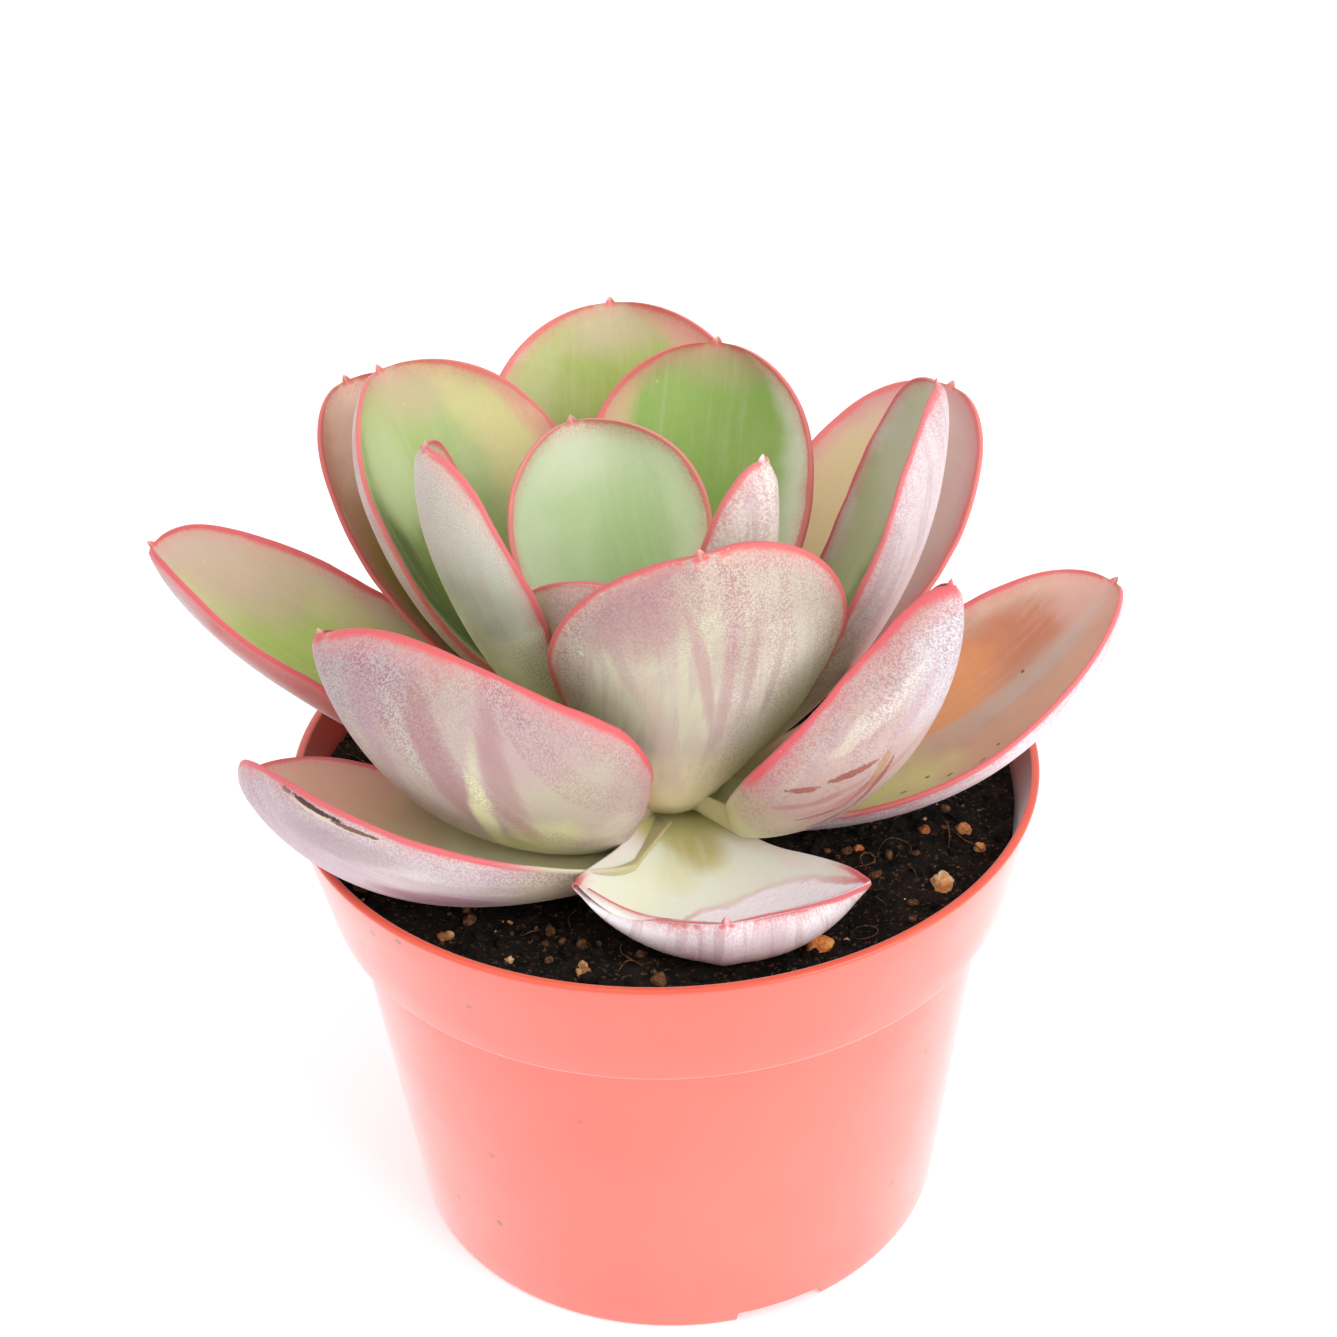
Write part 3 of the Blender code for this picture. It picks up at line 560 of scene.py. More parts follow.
LOOKS = {
    "leaf_outer_left": dict(
        inner=0xCCC890, inner2=0xCEC496, deep_and_shade=0xBABE70, border=0xCEBEA8, border_mm=5,
        outer=0xD6C4C0, outer2=0xC8B2B2,
        zones=[(0xA6C25C, 0.52, 0.02, 0.36, 0.6, 0.95), (0xC4C678, 0.3, 0.1, 0.2, 0.5, 0.7),
         (0xC8AC9E, 0.88, -0.4, 0.2, 0.6, 0.7)],
        under_zones=[(0xBE5A4E, 0.45, 0.95, 0.5, 0.3, 0.95)], margin=0xDC5C62, margin_mm=0.93),
    "leaf_drooping_left": dict(
        inner=0xDECCB6, inner2=0xD6C0A0, deep_and_shade=0xCEC698, border=0xE4C8BC, border_mm=5,
        outer=0xD2C6C6, outer2=0xCABEC0, speckle=0.5, margin_from=0.22,
        zones=[(0xE4E4BA, 0.25, 0.2, 0.25, 1, 0.9), (0xDEAC92, 0.8, -0.55, 0.24, 0.5, 0.8),
         (0xC4AC84, 0.55, -0.3, 0.2, 0.5, 0.6)],
        under_zones=[(0xCECCA6, 0.12, 0.5, 0.2, 0.8, 0.85), (0xCEB0BE, 0.7, 0.5, 0.3, 0.4, 0.5)],
        stripe=0xE0DCD2, speck=0xAA8092, margin=0xE0646A,
        bars=[(30.5, 11.6, 6, 1.3, -0.26, 0xA08A90, 0.5), (21, 8.8, 5, 1.3, -0.1, 0xA8748A, 0.75),
         (14, 7, 5, 1, 0, 0xDADEC8, 0.7)],
        marks=[(31.2, 13.55, 6.6, 0.22, -0.24, 0xE0CCB6, 0.9, "under"),
         (34, 13.3, 3.6, 0.26, -0.24, 0x3E2A22, 0.95, "under"),
         (29, 14.2, 2.6, 0.2, -0.22, 0x684836, 0.9, "under"),
         (37.6, 12.3, 1, 0.25, -0.3, 0x805C48, 0.8, "under")]),
    "leaf_drooping_front": dict(
        inner=0xEEF0E8, inner2=0xEAECE0, deep_and_shade=0xECF0DA, border=0xF0E6DE, border_mm=2.5,
        # the under face's pale bloom, made paler still to lift the shade that falls on it: partly
        # painted light
        streak=0xF4F2EA, outer=0xF4F0F2, outer2=0xECE4EA, stripe=0xF4EEF0, speckle=0.14,
        margin=0xD85C64, margin_mm=0.6, margin_from=0.45, heel=0xD2CC8C, heel_at=0.04,
        zones=[(0xC4B870, 0.14, 0.1, 0.16, 0.5, 0.9), (0xE2E0B4, 0.3, -0.25, 0.14, 0.28, 0.6),
         (0xECE6DE, 0.6, 0.5, 0.3, 0.4, 0.7), (0xECEED2, 0.5, -0.6, 0.3, 0.35, 0.7)],
        bars=[(36, 6, 4, 2.4, 0, 0xC8B6C0, 0.5)],
        marks=[(33, -3.6, 0.6, 3, -0.3, 0xD67446, 0.6, "upper")],
        lobe=((31.5, 7.8), 15.4, 0xFCF0F8, 0xD84A54)),
    "leaf_outer_right": dict(
        inner=0xD4B09A, inner2=0xCCA48C, deep_and_shade=0xCEB894, border=0xE0BCA6, border_mm=4,
        streak=0xDECAC0, outer=0xECDCE0, outer2=0xE2CED4,
        zones=[(0xC87A58, 0.74, 0.42, 0.24, 0.38, 0.8), (0xEEA870, 0.5, 0.42, 0.24, 0.5, 0.9),
         (0xE2B496, 0.72, -0.5, 0.3, 0.34, 0.6), (0xCCBAAE, 0.66, -0.02, 0.4, 0.12, 0.7),
         (0xE2BAAE, 0.96, 0.3, 0.1, 0.6, 0.7), (0xE8EEA8, 0.24, -0.45, 0.24, 0.8, 0.95)],
        margin=0xE66C70, tip=0x68423A, heel=0xE2DEAE,
        marks=[(29, -9, 0.5, 0.35, 0.2, 0x744A2E, 0.85, "upper"),
         (26.4, -6.4, 0.35, 0.3, 0, 0x805434, 0.8, "upper"),
         (33.2, -10.6, 0.6, 0.3, 0.3, 0x7A4E30, 0.8, "upper"),
         (36, -8.4, 0.3, 0.3, 0, 0x6C422C, 0.8, "upper"),
         (45, 1.2, 0.3, 0.25, 0, 0x603E2E, 0.7, "upper"),
         (23, -8.2, 0.5, 0.3, 0.1, 0x805C36, 0.7, "upper")]),
    "leaf_low_back_right": dict(inner=0xBEBE8C, border=0xD6B8AA),
    "leaf_low_back_left": dict(inner=0xC2BE8A, border=0xD8B8AA),
    "leaf_back_left": dict(
        inner=0xDAB08C, inner2=0xD0A67C, deep_and_shade=0xBAA64A, border=0xE2BEAE, border_mm=3.5,
        zones=[(0xF6D6C0, 0.95, 0, 0.24, 1, 0.9), (0xA6942C, 0.45, 0.4, 0.3, 0.7, 0.9)],
        margin=0xE2706A, margin_mm=0.9),
    "leaf_front_left": dict(
        outer=0xBEB0A4, outer2=0xB6A49A, stripe=0xC4C0A4, stripe_at=0.58, stripe_share=0.5,
        speck=0x9E6872, speckle=0.6, heel=0xD0CA9C, heel_at=-0.1, margin_from=-0.12,
        under_zones=[(0xBCB49C, 0.38, 0.6, 0.16, 0.24, 0.85),
         # the grey-lilac zone near the tip (0xB0A4A8) is darkened where less light falls: painted
         # shade
         (0xB0A4A8, 0.92, 0.2, 0.14, 0.8, 0.75), (0xD6D6A0, 0.3, 0.3, 0.1, 0.24, 0.9),
         (0xBA9E9E, 0.56, 0.8, 0.16, 0.24, 0.7), (0xD4CEB0, 0.15, 0.2, 0.14, 0.5, 0.7)],
        bars=[(30.5, 8.6, 13, 1.8, 0.14, 0xA47678, 0.65), (27, 13.2, 9, 1.7, 0.4, 0xA87C7E, 0.62),
         (40, 3.4, 9, 1.5, 0.2, 0xB4929A, 0.6), (24, 8.2, 8, 1.3, 0.55, 0xDCDEB0, 0.95),
         (38, 7, 6, 0.8, 0.1, 0xC4C2B4, 0.5)], inner=0xC8C496, margin=0xDC585C, margin_mm=1.2),
    "leaf_front_right": dict(
        outer=0xC8B2A8, outer2=0xC0A69C, stripe=0xD0C8B0, stripe_at=0.56, stripe_share=0.5,
        speck=0xA06874, speckle=0.6, heel=0xCECA9C, heel_at=0.04,
        under_zones=[(0xBA9E92, 0.3, -0.3, 0.25, 0.5, 0.7),
         (0xD6D8DE, 0.84, -0.1, 0.2, 0.6, 0.75), (0xC2BA94, 0.14, -0.5, 0.14, 0.8, 0.8)],
        bars=[(31, -9.4, 3.6, 1.1, 0.5, 0xDED8CC, 0.7), (35.5, -7, 3.4, 0.7, 0.5, 0xDED6CE, 0.65),
         (27, -10.8, 4, 0.6, 0.5, 0xD6CAB6, 0.7), (34, -5, 5, 0.8, 0.3, 0xC4A6B0, 0.7),
         (22, -5.8, 7, 0.7, 0.4, 0xB8827A, 0.7), (18, -9.4, 5, 0.5, 0.45, 0xB0786A, 0.65)],
        margin=0xDC5860, margin_mm=1.2,
        marks=[(18.3, -12, 1.7, 0.5, 0.6, 0x9C5446, 0.85, "under"),
         (23.6, -8.9, 2.5, 0.55, 0.65, 0x964C3E, 0.85, "under"),
         (22.5, -4.8, 4.6, 0.4, -0.1, 0x9C5242, 0.8, "under"),
         (20.5, -6.1, 3.8, 0.3, 0, 0xB06854, 0.7, "under"),
         (25.2, -6, 2.6, 0.6, -0.1, 0xAC8454, 0.6, "under"),
         (14.5, -4.8, 3.2, 0.4, 0.1, 0x8C4842, 0.75, "under"),
         (15.6, -7.4, 2.6, 0.35, 0.4, 0x985450, 0.7, "under")]),
    "leaf_back_right": dict(
        inner=0xE0C2BA, inner2=0xDAB8B2, deep_and_shade=0xD6C69C, border=0xD8ACA8,
        zones=[(0xD8C692, 0.6, 0.55, 0.35, 0.5, 0.9)], margin=0xEA7C7A, margin_mm=0.9),
    "leaf_back": dict(
        inner=0xA8BA5C, inner2=0xB2C26E, deep_and_shade=0x9EB64E, border=0xD0BE9C, border_mm=2.5,
        zones=[(0xCEBE9C, 1, -0.1, 0.12, 0.9, 0.85), (0xF2B4A8, 0.72, -0.84, 0.42, 0.4, 0.95),
         (0xCACA94, 0.7, 0.75, 0.35, 0.3, 0.6)], margin=0xE87876, margin_mm=0.9),
    "leaf_mid_left": dict(
        inner=0xACC27A, inner2=0xB8C88A, deep_and_shade=0x829A4C, border=0xD0BAA0, border_mm=3,
        zones=[(0x546A2A, 0.5, 0.62, 0.34, 0.22, 0.95), (0x70883A, 0.45, 0.2, 0.22, 0.35, 0.8),
         (0xC0CE9C, 0.8, 0.35, 0.14, 0.28, 0.8), (0xD0B898, 0.98, -0.3, 0.12, 0.7, 0.75),
         (0xE4D698, 0.66, -0.75, 0.36, 0.34, 0.8), (0xE2AC92, 0.74, -1, 0.3, 0.16, 0.8),
         (0xC8A880, 0.7, 0.97, 0.4, 0.12, 0.6)], margin=0xE67874, margin_mm=0.9),
    "leaf_mid_right": dict(
        inner=0xC4C8A0, inner2=0xBEC49A, deep_and_shade=0xA0AC6E, border=0xD4CEC2, border_mm=3,
        zones=[(0x70863C, 0.55, 0, 0.42, 0.34, 0.9), (0xCECCBA, 0.8, 0.4, 0.2, 0.4, 0.7)],
        outer=0xDCCED0, outer2=0xD2C4C8, stripe=0xDCD6D0, speckle=0.35, margin=0xE07076),
    "leaf_front": dict(
        outer=0xCCC4B2, outer2=0xC4BAA8, stripe=0xCECCB0, stripe_at=0.54, vein=0xBAA0A0,
        vein_share=0.35, speck=0xA46E7A, speckle=0.55,
        under_zones=[(0xB28A8A, 0.86, -0.5, 0.16, 0.4, 0.8),
         (0xC4B2A0, 0.94, 0.15, 0.1, 0.6, 0.6), (0xC4BAA8, 0.75, 0.75, 0.25, 0.3, 0.6),
         # the pale zones across the middle (0xF6EEE2) and at the heel (0xECE2BE) are painted light,
         # lifting the shade that falls there
         (0xF6EEE2, 0.4, 0.5, 0.32, 0.5, 0.85), (0xECE2BE, 0.08, 0, 0.22, 1.2, 0.9)],
        bars=[(12, -4.6, 20, 1.4, -0.24, 0xCEB4A8, 0.5), (28, -1.4, 9, 0.8, -0.12, 0xBA8E92, 0.6),
         (24, 1.4, 14, 0.9, 0.1, 0xC09C9C, 0.55), (30, -10.8, 6, 0.8, -0.3, 0xBC9E9C, 0.5),
         (27, 4.6, 8, 0.7, 0.16, 0xBE9C9C, 0.5), (25, 8, 7, 0.6, 0.22, 0xC2A4A0, 0.45)],
        # the leaf's own pale heel, made paler still to lift the shade at the base: partly painted
        # light
        heel=0xF0E4C0, heel_at=0.02, margin=0xDA6062, margin_mm=1,
        marks=[(30.4, -15.6, 0.35, 0.3, 0, 0xE8DED4, 0.5, "under")]),
    "leaf_mid_back": dict(
        inner=0x94B85C, inner2=0x9EBC66, deep_and_shade=0x86AA4C, border=0xB2A878, border_mm=3.5,
        zones=[(0xBEB082, 0.98, 0, 0.1, 0.8, 0.6), (0xECEEDA, 0.55, -1.05, 0.5, 0.42, 0.85),
         (0xDABE94, 0.66, 0.9, 0.34, 0.22, 0.8)], margin=0xE47472, margin_mm=0.9),
    "leaf_inner_left": dict(
        outer=0xBAC2AC, outer2=0xB4BAA6, stripe=0xC6CCAC, speckle=0.35,
        # the pale zone low on the under face (0xF6FADA) is painted light, lifting the shade among
        # the inner leaves
        under_zones=[(0xD2CCC0, 0.9, 0.2, 0.2, 1, 0.7), (0xF6FADA, 0.3, 0.3, 0.3, 1.2, 0.9)],
        inner=0xBECEA0, inner2=0xB8CA98, border=0xC8C4AA, margin=0xDC686A),
    "leaf_inner_back": dict(
        inner=0xC4DCAA, inner2=0xC0D8A4, deep_and_shade=0xB8D098, border=0xCED8B6, border_mm=3,
        zones=[(0xDCE2C8, 0.95, 0.2, 0.2, 1, 0.75), (0xCEDEBA, 0.6, 0.7, 0.4, 0.35, 0.8),
         (0xACCC8A, 0.4, -0.3, 0.35, 0.4, 0.7), (0xD8E8BE, 0.55, -0.9, 0.4, 0.25, 0.8)],
        streak=0xD6E0C4, margin=0xE88480, margin_mm=0.9),
    "leaf_inner_front": dict(
        outer=0xCCB4A8, outer2=0xC2B49C, stripe=0xB8C090, speckle=0.4, inner=0xBCCA94,
        margin=0xDE686A),
    "leaf_inner_right": dict(
        outer=0xEEE4DC, outer2=0xE4D6CE, stripe=0xF0E8DE, speckle=0.4,
        under_zones=[(0xDCC0BC, 0.7, 0.6, 0.4, 0.4, 0.6)], inner=0xC8C8AA, margin=0xDE7070,
        tip=0xECDED6, tip_at=0.996),
}
for side in ("left", "back", "right"):
    LOOKS["leaf_heart_" + side] = dict(inner=0xC4D09C, outer=0xCEC8B0, speckle=0.3)


def pot_material():
    """Salmon moulded plastic: paler outside, where it is scuffed and dusty, redder on the lip
    and inside."""
    sh = Shader("pot_plastic")
    place = sh.place()
    cloud = sh.noise(place, 28.0, 3.0, 0.55)
    cloud_share = sh.step(cloud, 0.3, 0.7)
    grain = sh.noise(place, 1500.0, 2.0, 0.6)
    level = sh.node("SeparateXYZ", {0: place}, "Z")
    outside = sh.mix(cloud_share, 0xE86958, 0xED7362)
    # the outside darkens upwards towards the collar
    upper = sh.step(level, COLLAR_BOTTOM - 0.04, COLLAR_BOTTOM, 0.0, 0.5)
    outside = sh.mix(upper, outside, 0xE46552)
    # painted shade: the collar, which faces up into the light, is darkened
    collar_shade = sh.step(level, COLLAR_BOTTOM - 0.001, COLLAR_BOTTOM + 0.001, 0.0, 0.8)
    outside = sh.mix(collar_shade, outside, 0xE2614D)
    # painted shadow: a darker line just under the collar's overhang
    collar_shadow_gap = sh.math("ABSOLUTE", level - (COLLAR_BOTTOM - 0.0007))
    outside = sh.mix(sh.step(collar_shadow_gap, 0.0013, 0.0, 0.0, 0.45), outside, 0xCE4E42)
    within = sh.mix(cloud_share, 0xE0482A, 0xE85434)
    colour = sh.mix(sh.attribute("pot_inside"), outside, within)
    dirt = sh.step(sh.cells(place, 150.0), 0.11, 0.05)
    dirt = dirt * sh.step(sh.noise(place, 40.0, 2.0), 0.47, 0.56, 0.0, 0.7)
    colour = sh.mix(dirt, colour, 0x784630)
    roughness = sh.step(sh.noise(place, 90.0, 3.0), 0.3, 0.7, 0.3, 0.42)
    normal = sh.bump(grain * 0.25 + cloud, 0.35, 0.0001)
    sh.set(Sheen_Weight=1.0, Sheen_Roughness=0.3)
    sh.set(Coat_Weight=0.7, Coat_Roughness=0.25, Coat_IOR=1.45)
    sh.set(Subsurface_Weight=0.1, Subsurface_Scale=0.002, Subsurface_Radius=(1.0, 0.5, 0.3))
    return sh.done(colour, roughness, normal, 0.6)


PEAT_DARK, PEAT_BROWN = 0x070605, 0x221A14


def peat_material():
    sh = Shader("peat_mix")
    place = sh.place()
    clump = sh.noise(place, 320.0, 4.0, 0.6)
    fine = sh.noise(place, 1400.0, 3.0, 0.65)
    colour = sh.mix(sh.step(clump, 0.35, 0.68), PEAT_DARK, PEAT_BROWN)
    colour = sh.mix(sh.step(fine, 0.56, 0.68, 0.0, 0.65), colour, 0x70543A)
    return sh.done(colour, 0.95, sh.bump(clump + fine * 0.5, 1.0, 0.001), 0.2)


def crumb_material():
    """Peat crumbs, bark and bits of pumice, told apart by each crumb's own tint."""
    sh = Shader("crumb_mix")
    tint = sh.attribute("crumb_tint")
    fine = sh.noise(sh.place(), 1800.0, 4.0, 0.65)
    fine_share = sh.step(fine, 0.35, 0.7)
    dark = sh.mix(fine_share, PEAT_DARK, PEAT_BROWN)
    bark = sh.mix(fine_share, 0x462C1C, 0x88603E)
    stone = sh.mix(sh.step(fine, 0.35, 0.65), 0xB07442, 0xECCE9E)
    colour = sh.mix(sh.step(tint, 0.62, 0.72), dark, bark)
    colour = sh.mix(sh.step(tint, 0.93, 0.95), colour, stone)
    return sh.done(colour, 0.93, sh.bump(fine, 0.9, 0.0002), 0.25)


def stone_material(name, pale, dark):
    sh = Shader(name + "_stone")
    place = sh.place()
    pores = sh.cells(place, 1500.0)
    cloud = sh.noise(place, 420.0, 4.0, 0.6)
    colour = sh.mix(sh.step(cloud, 0.38, 0.62), dark, pale)
    colour = sh.mix(sh.step(pores, 0.25, 0.1, 0.0, 0.5), colour, 0x5C3820)
    return sh.done(colour, 0.9, sh.bump(cloud + pores * 0.6, 0.9, 0.0003), 0.25)


def stem_material():
    sh = Shader("stem_skin_look")
    cloud = sh.noise(sh.place(), 300.0, 4.0, 0.6)
    colour = sh.mix(sh.step(cloud, 0.3, 0.7), 0xBAB670, 0xCEC892)
    colour = sh.mix(sh.attribute("stem_scar") * 0.8, colour, 0x846438)
    sh.set(Subsurface_Weight=0.15, Subsurface_Scale=0.002)
    return sh.done(colour, 0.55, sh.bump(cloud, 0.6, 0.0003), 0.4)


# ---------------------------------------------------------------- leaves
leaf_pieces = []
for number, (name, row) in enumerate(LEAVES.items()):
    points, faces, info = leaf_mesh(row, number + 1)
    piece = add_piece(name + "_blade", points, faces, name, "leaf_blush")
    for key, values in info.items():
        set_attribute(piece, key, values)
    layer = [info["leaf_t"], info["leaf_s"], info["leaf_face"] * 9.0 + 37.0 * number]
    set_attribute(piece, "leaf_map", np.stack(layer, axis=1), "FLOAT_VECTOR", "vector")
    dress(piece, leaf_material(name, LOOKS[name]))
    leaf_pieces.append(piece)


# ---------------------------------------------------------------- pot
def round_point(radius, angle, height):
    return radius * np.cos(angle), radius * np.sin(angle), height


def rounded(profile, radii, steps=5):
    """A profile with each inner corner rounded by its radius."""
    out = [np.array(profile[0])]
    for before, corner, after, radius in zip(profile, profile[1:], profile[2:], radii):
        before, corner, after = (np.array(p, float) for p in (before, corner, after))
        a, b = before - corner, after - corner
        la, lb = np.linalg.norm(a), np.linalg.norm(b)
        a, b = a / la, b / lb
        angle = np.arccos(np.clip(a @ b, -1, 1))
        back = min(radius / np.tan(angle / 2), 0.48 * min(la, lb))
        start, end = corner + a * back, corner + b * back
        for k in range(steps + 1):
            t = k / steps
            out.append((1 - t) ** 2 * start + 2 * t * (1 - t) * corner + t * t * end)
    out.append(np.array(profile[-1]))
    return out


def lathe(profile, sides, centre):
    """A closed turned solid, from a profile that starts and ends on the axis."""
    points = [(0.0, 0.0, profile[0][1])]
    rings = []
    for radius, height in profile[1:-1]:
        rings.append(len(points))
        points += [round_point(radius, TURN * k / sides, height) for k in range(sides)]
    last = len(points)
    points.append((0.0, 0.0, profile[-1][1]))
    faces = []
    for k in range(sides):
        after = (k + 1) % sides
        faces.append((0, rings[0] + k, rings[0] + after))
        for low, high in zip(rings, rings[1:]):
            faces.append((low + k, high + k, high + after, low + after))
        faces.append((last, rings[-1] + after, rings[-1] + k))
    return [np.array(p) + centre for p in points], faces


def inside_radius(height):
    if height >= COLLAR_BOTTOM + WALL:
        share = (height - COLLAR_BOTTOM) / COLLAR_HEIGHT
        return COLLAR_LOW_RADIUS + COLLAR_FLARE * share - WALL
    return BASE_RADIUS + (BODY_TOP_RADIUS - BASE_RADIUS) * height / COLLAR_BOTTOM - WALL


def notch(index):
    """The cutter of one of the gaps in the foot ring."""
    bearing = NOTCH_BEARING + TURN * index / NOTCHES
    out = np.array([np.cos(bearing), np.sin(bearing), 0.0])
    side = np.array([-np.sin(bearing), np.cos(bearing), 0.0])
    (low_half, low), (high_half, high) = NOTCH_LOW, NOTCH_HIGH
    section = ((-low_half, low), (low_half, low), (high_half, high), (-high_half, high))
    points = [AXIS + out * reach + side * half + UP * height
              for reach in (BASE_RADIUS - 2.2 * FOOT_WIDTH, BASE_RADIUS + FOOT_WIDTH)
              for half, height in section]
    faces = [(0, 1, 2, 3), (7, 6, 5, 4), (0, 4, 5, 1), (1, 5, 6, 2), (2, 6, 7, 3), (3, 7, 4, 0)]
    return add_piece("notch_cutter_%d" % index, points, faces, smooth=False)


def drain(index):
    """The cutter of one of the drain holes in the floor."""
    bearing = DRAIN_BEARING + TURN * index / DRAINS
    centre = AXIS + np.array(round_point(DRAIN_PLACE, bearing, 0.0))
    low, high = FOOT_HEIGHT - 0.001, FLOOR_TOP + 0.001
    hole = lathe([(0, low), (DRAIN_RADIUS, low), (DRAIN_RADIUS, high), (0, high)], 40, centre)
    return add_piece("drain_cutter_%d" % index, *hole)


def build_pot():
    shoulder = COLLAR_BOTTOM + WALL
    foot_inside = BASE_RADIUS - FOOT_WIDTH
    corners = [
        (0.0, FOOT_HEIGHT), (foot_inside, FOOT_HEIGHT), (foot_inside, 0.0), (BASE_RADIUS, 0.0),
        (BODY_TOP_RADIUS, COLLAR_BOTTOM), (COLLAR_LOW_RADIUS, COLLAR_BOTTOM),
        (RIM_RADIUS, POT_HEIGHT), (inside_radius(POT_HEIGHT), POT_HEIGHT),
        (inside_radius(shoulder), shoulder),
        (inside_radius(shoulder - WALL), shoulder - WALL * 2),
        (inside_radius(FLOOR_TOP), FLOOR_TOP), (0.0, FLOOR_TOP),
    ]
    radii = [0.0003, 0.0002, 0.0007, 0.0006, 0.0007, 0.0006, 0.0005, 0.0008, 0.0008, 0.001]
    profile = rounded(corners, radii)
    # extra rings on the long walls, so that the shading stays even
    full = [profile[0]]
    for a, b in zip(profile, profile[1:]):
        pieces = max(1, int(np.linalg.norm(b - a) / 0.004))
        full += [a + (b - a) * (k + 1) / pieces for k in range(pieces)]
    pot = add_piece("pot_shell", *lathe(full, 200, AXIS), "pot", "terracotta_plastic")
    cutters = [notch(index) for index in range(NOTCHES)]
    cutters += [drain(index) for index in range(DRAINS)]
    for cutter in cutters:
        modifier = pot.modifiers.new(cutter.name, "BOOLEAN")
        modifier.operation = "DIFFERENCE"
        modifier.solver = "EXACT"
        modifier.object = cutter
    graph = bpy.context.evaluated_depsgraph_get()
    finished = bpy.data.meshes.new_from_object(pot.evaluated_get(graph))
    pot.modifiers.clear()
    pot.data = finished
    for cutter in cutters:
        bpy.data.objects.remove(cutter)
    finished.polygons.foreach_set("use_smooth", [True] * len(finished.polygons))
    finished.set_sharp_from_angle(angle=SHARP_ANGLE)
    # the inside and the top of the lip have their own colour
    spots = np.array([v.co for v in finished.vertices]) - AXIS
    level = spots[:, 2]
    radius = np.hypot(spots[:, 0], spots[:, 1])
    wall = np.array([inside_radius(z) for z in level])
    inner = step(wall + WALL * 0.75, wall + WALL * 0.35, radius)
    inner = np.maximum(inner, step(POT_HEIGHT - 0.0006, POT_HEIGHT - 0.0002, level))
    set_attribute(pot, "pot_inside", np.where(level < FLOOR_TOP, 0.0, inner))
    dress(pot, pot_material())


build_pot()


# ---------------------------------------------------------------- soil
LOOSE_LAYER = 0.004
CRUMBS, CRUMB_CLEAR, CRUMB_SHAPES = 1150, 0.0011, 6
FIBRES, FIBRE_CLEAR = 90, 0.0025


def soil_height(x, y):
    """Height of the packed soil's surface at a place in its own frame."""
    lump = noise.noise(Vector((x * 110, y * 110, 3.7)))
    fine = noise.noise(Vector((x * 320, y * 320, 9.1)))
    from_stem = np.hypot(x, y + 0.005) / RIM_RADIUS
    slope = 0.0010 * min(from_stem, 1.0) - 0.0005
    return SOIL_LEVEL + slope + 0.0011 * (0.6 * lump + 0.3 * fine)


def build_soil_top():
    """The loose top layer: a fine lumpy skin over the block of soil, closed underneath."""
    edge = inside_radius(SOIL_LEVEL - 0.0015) - 0.0004
    rings, sides = 110, 420
    points = []
    for ring in range(rings):
        for k in range(sides):
            x, y, _ = round_point(edge * (1.0 - ring / rings), TURN * k / sides, 0.0)
            p = Vector((x, y, 0.0))
            clump = noise.noise(p * 420 + Vector((5, 1, 2)))
            crumb = abs(noise.noise(p * 1100 + Vector((1, 8, 3))))
            pit = min(0.0, noise.noise(p * 230 + Vector((3, 3, 7))) + 0.15)
            z = soil_height(x, y) + 0.0002 + 0.0005 * clump + 0.0004 * crumb + 0.0022 * pit
            points.append((x, y, z))
    middle = len(points)
    points.append((0.0, 0.0, soil_height(0.0, 0.0)))
    bottom = SOIL_LEVEL - LOOSE_LAYER
    points += [round_point(edge, TURN * k / sides, bottom) for k in range(sides)]
    under = len(points)
    points.append((0.0, 0.0, bottom))
    faces = tube_faces(rings, sides, caps=False)
    last, base = middle - sides, middle + 1
    for k in range(sides):
        after = (k + 1) % sides
        faces += [(last + k, last + after, middle), (after, k, base + k, base + after),
                  (base + after, base + k, under)]
    top = add_piece("soil_top", [np.array(p) + AXIS for p in points], faces, None, "peat")
    dress(top, peat_material())


def leaf_clearance():
    """A search tree of every leaf, so that loose bits stay out of them."""
    verts, polys = [], []
    for piece in leaf_pieces:
        base = len(verts)
        verts += [v.co.copy() for v in piece.data.vertices]
        polys += [tuple(base + i for i in p.vertices) for p in piece.data.polygons]
    return BVHTree.FromPolygons(verts, polys)


def scatter(rng, count, clear, tree, edge):
    """Places on the soil, in its own frame, that keep clear of the leaves."""
    found = []
    while len(found) < count:
        radius = edge * np.sqrt(rng.random())
        x, y, _ = round_point(radius, rng.random() * TURN, 0.0)
        z = soil_height(x, y)
        near = tree.find_nearest(Vector((x + AXIS[0], y + AXIS[1], z)), clear * 2.0)
        if near[0] is None or near[3] >= clear:
            found.append((x, y, z))
    return found


def ball(subdivisions, move):
    """Points and faces of a ball whose points have each been moved."""
    work = bmesh.new()
    bmesh.ops.create_icosphere(work, subdivisions=subdivisions, radius=1.0)
    points = np.array([move(vert.co) for vert in work.verts])
    faces = [[v.index for v in f.verts] for f in work.faces]
    work.free()
    return points, faces


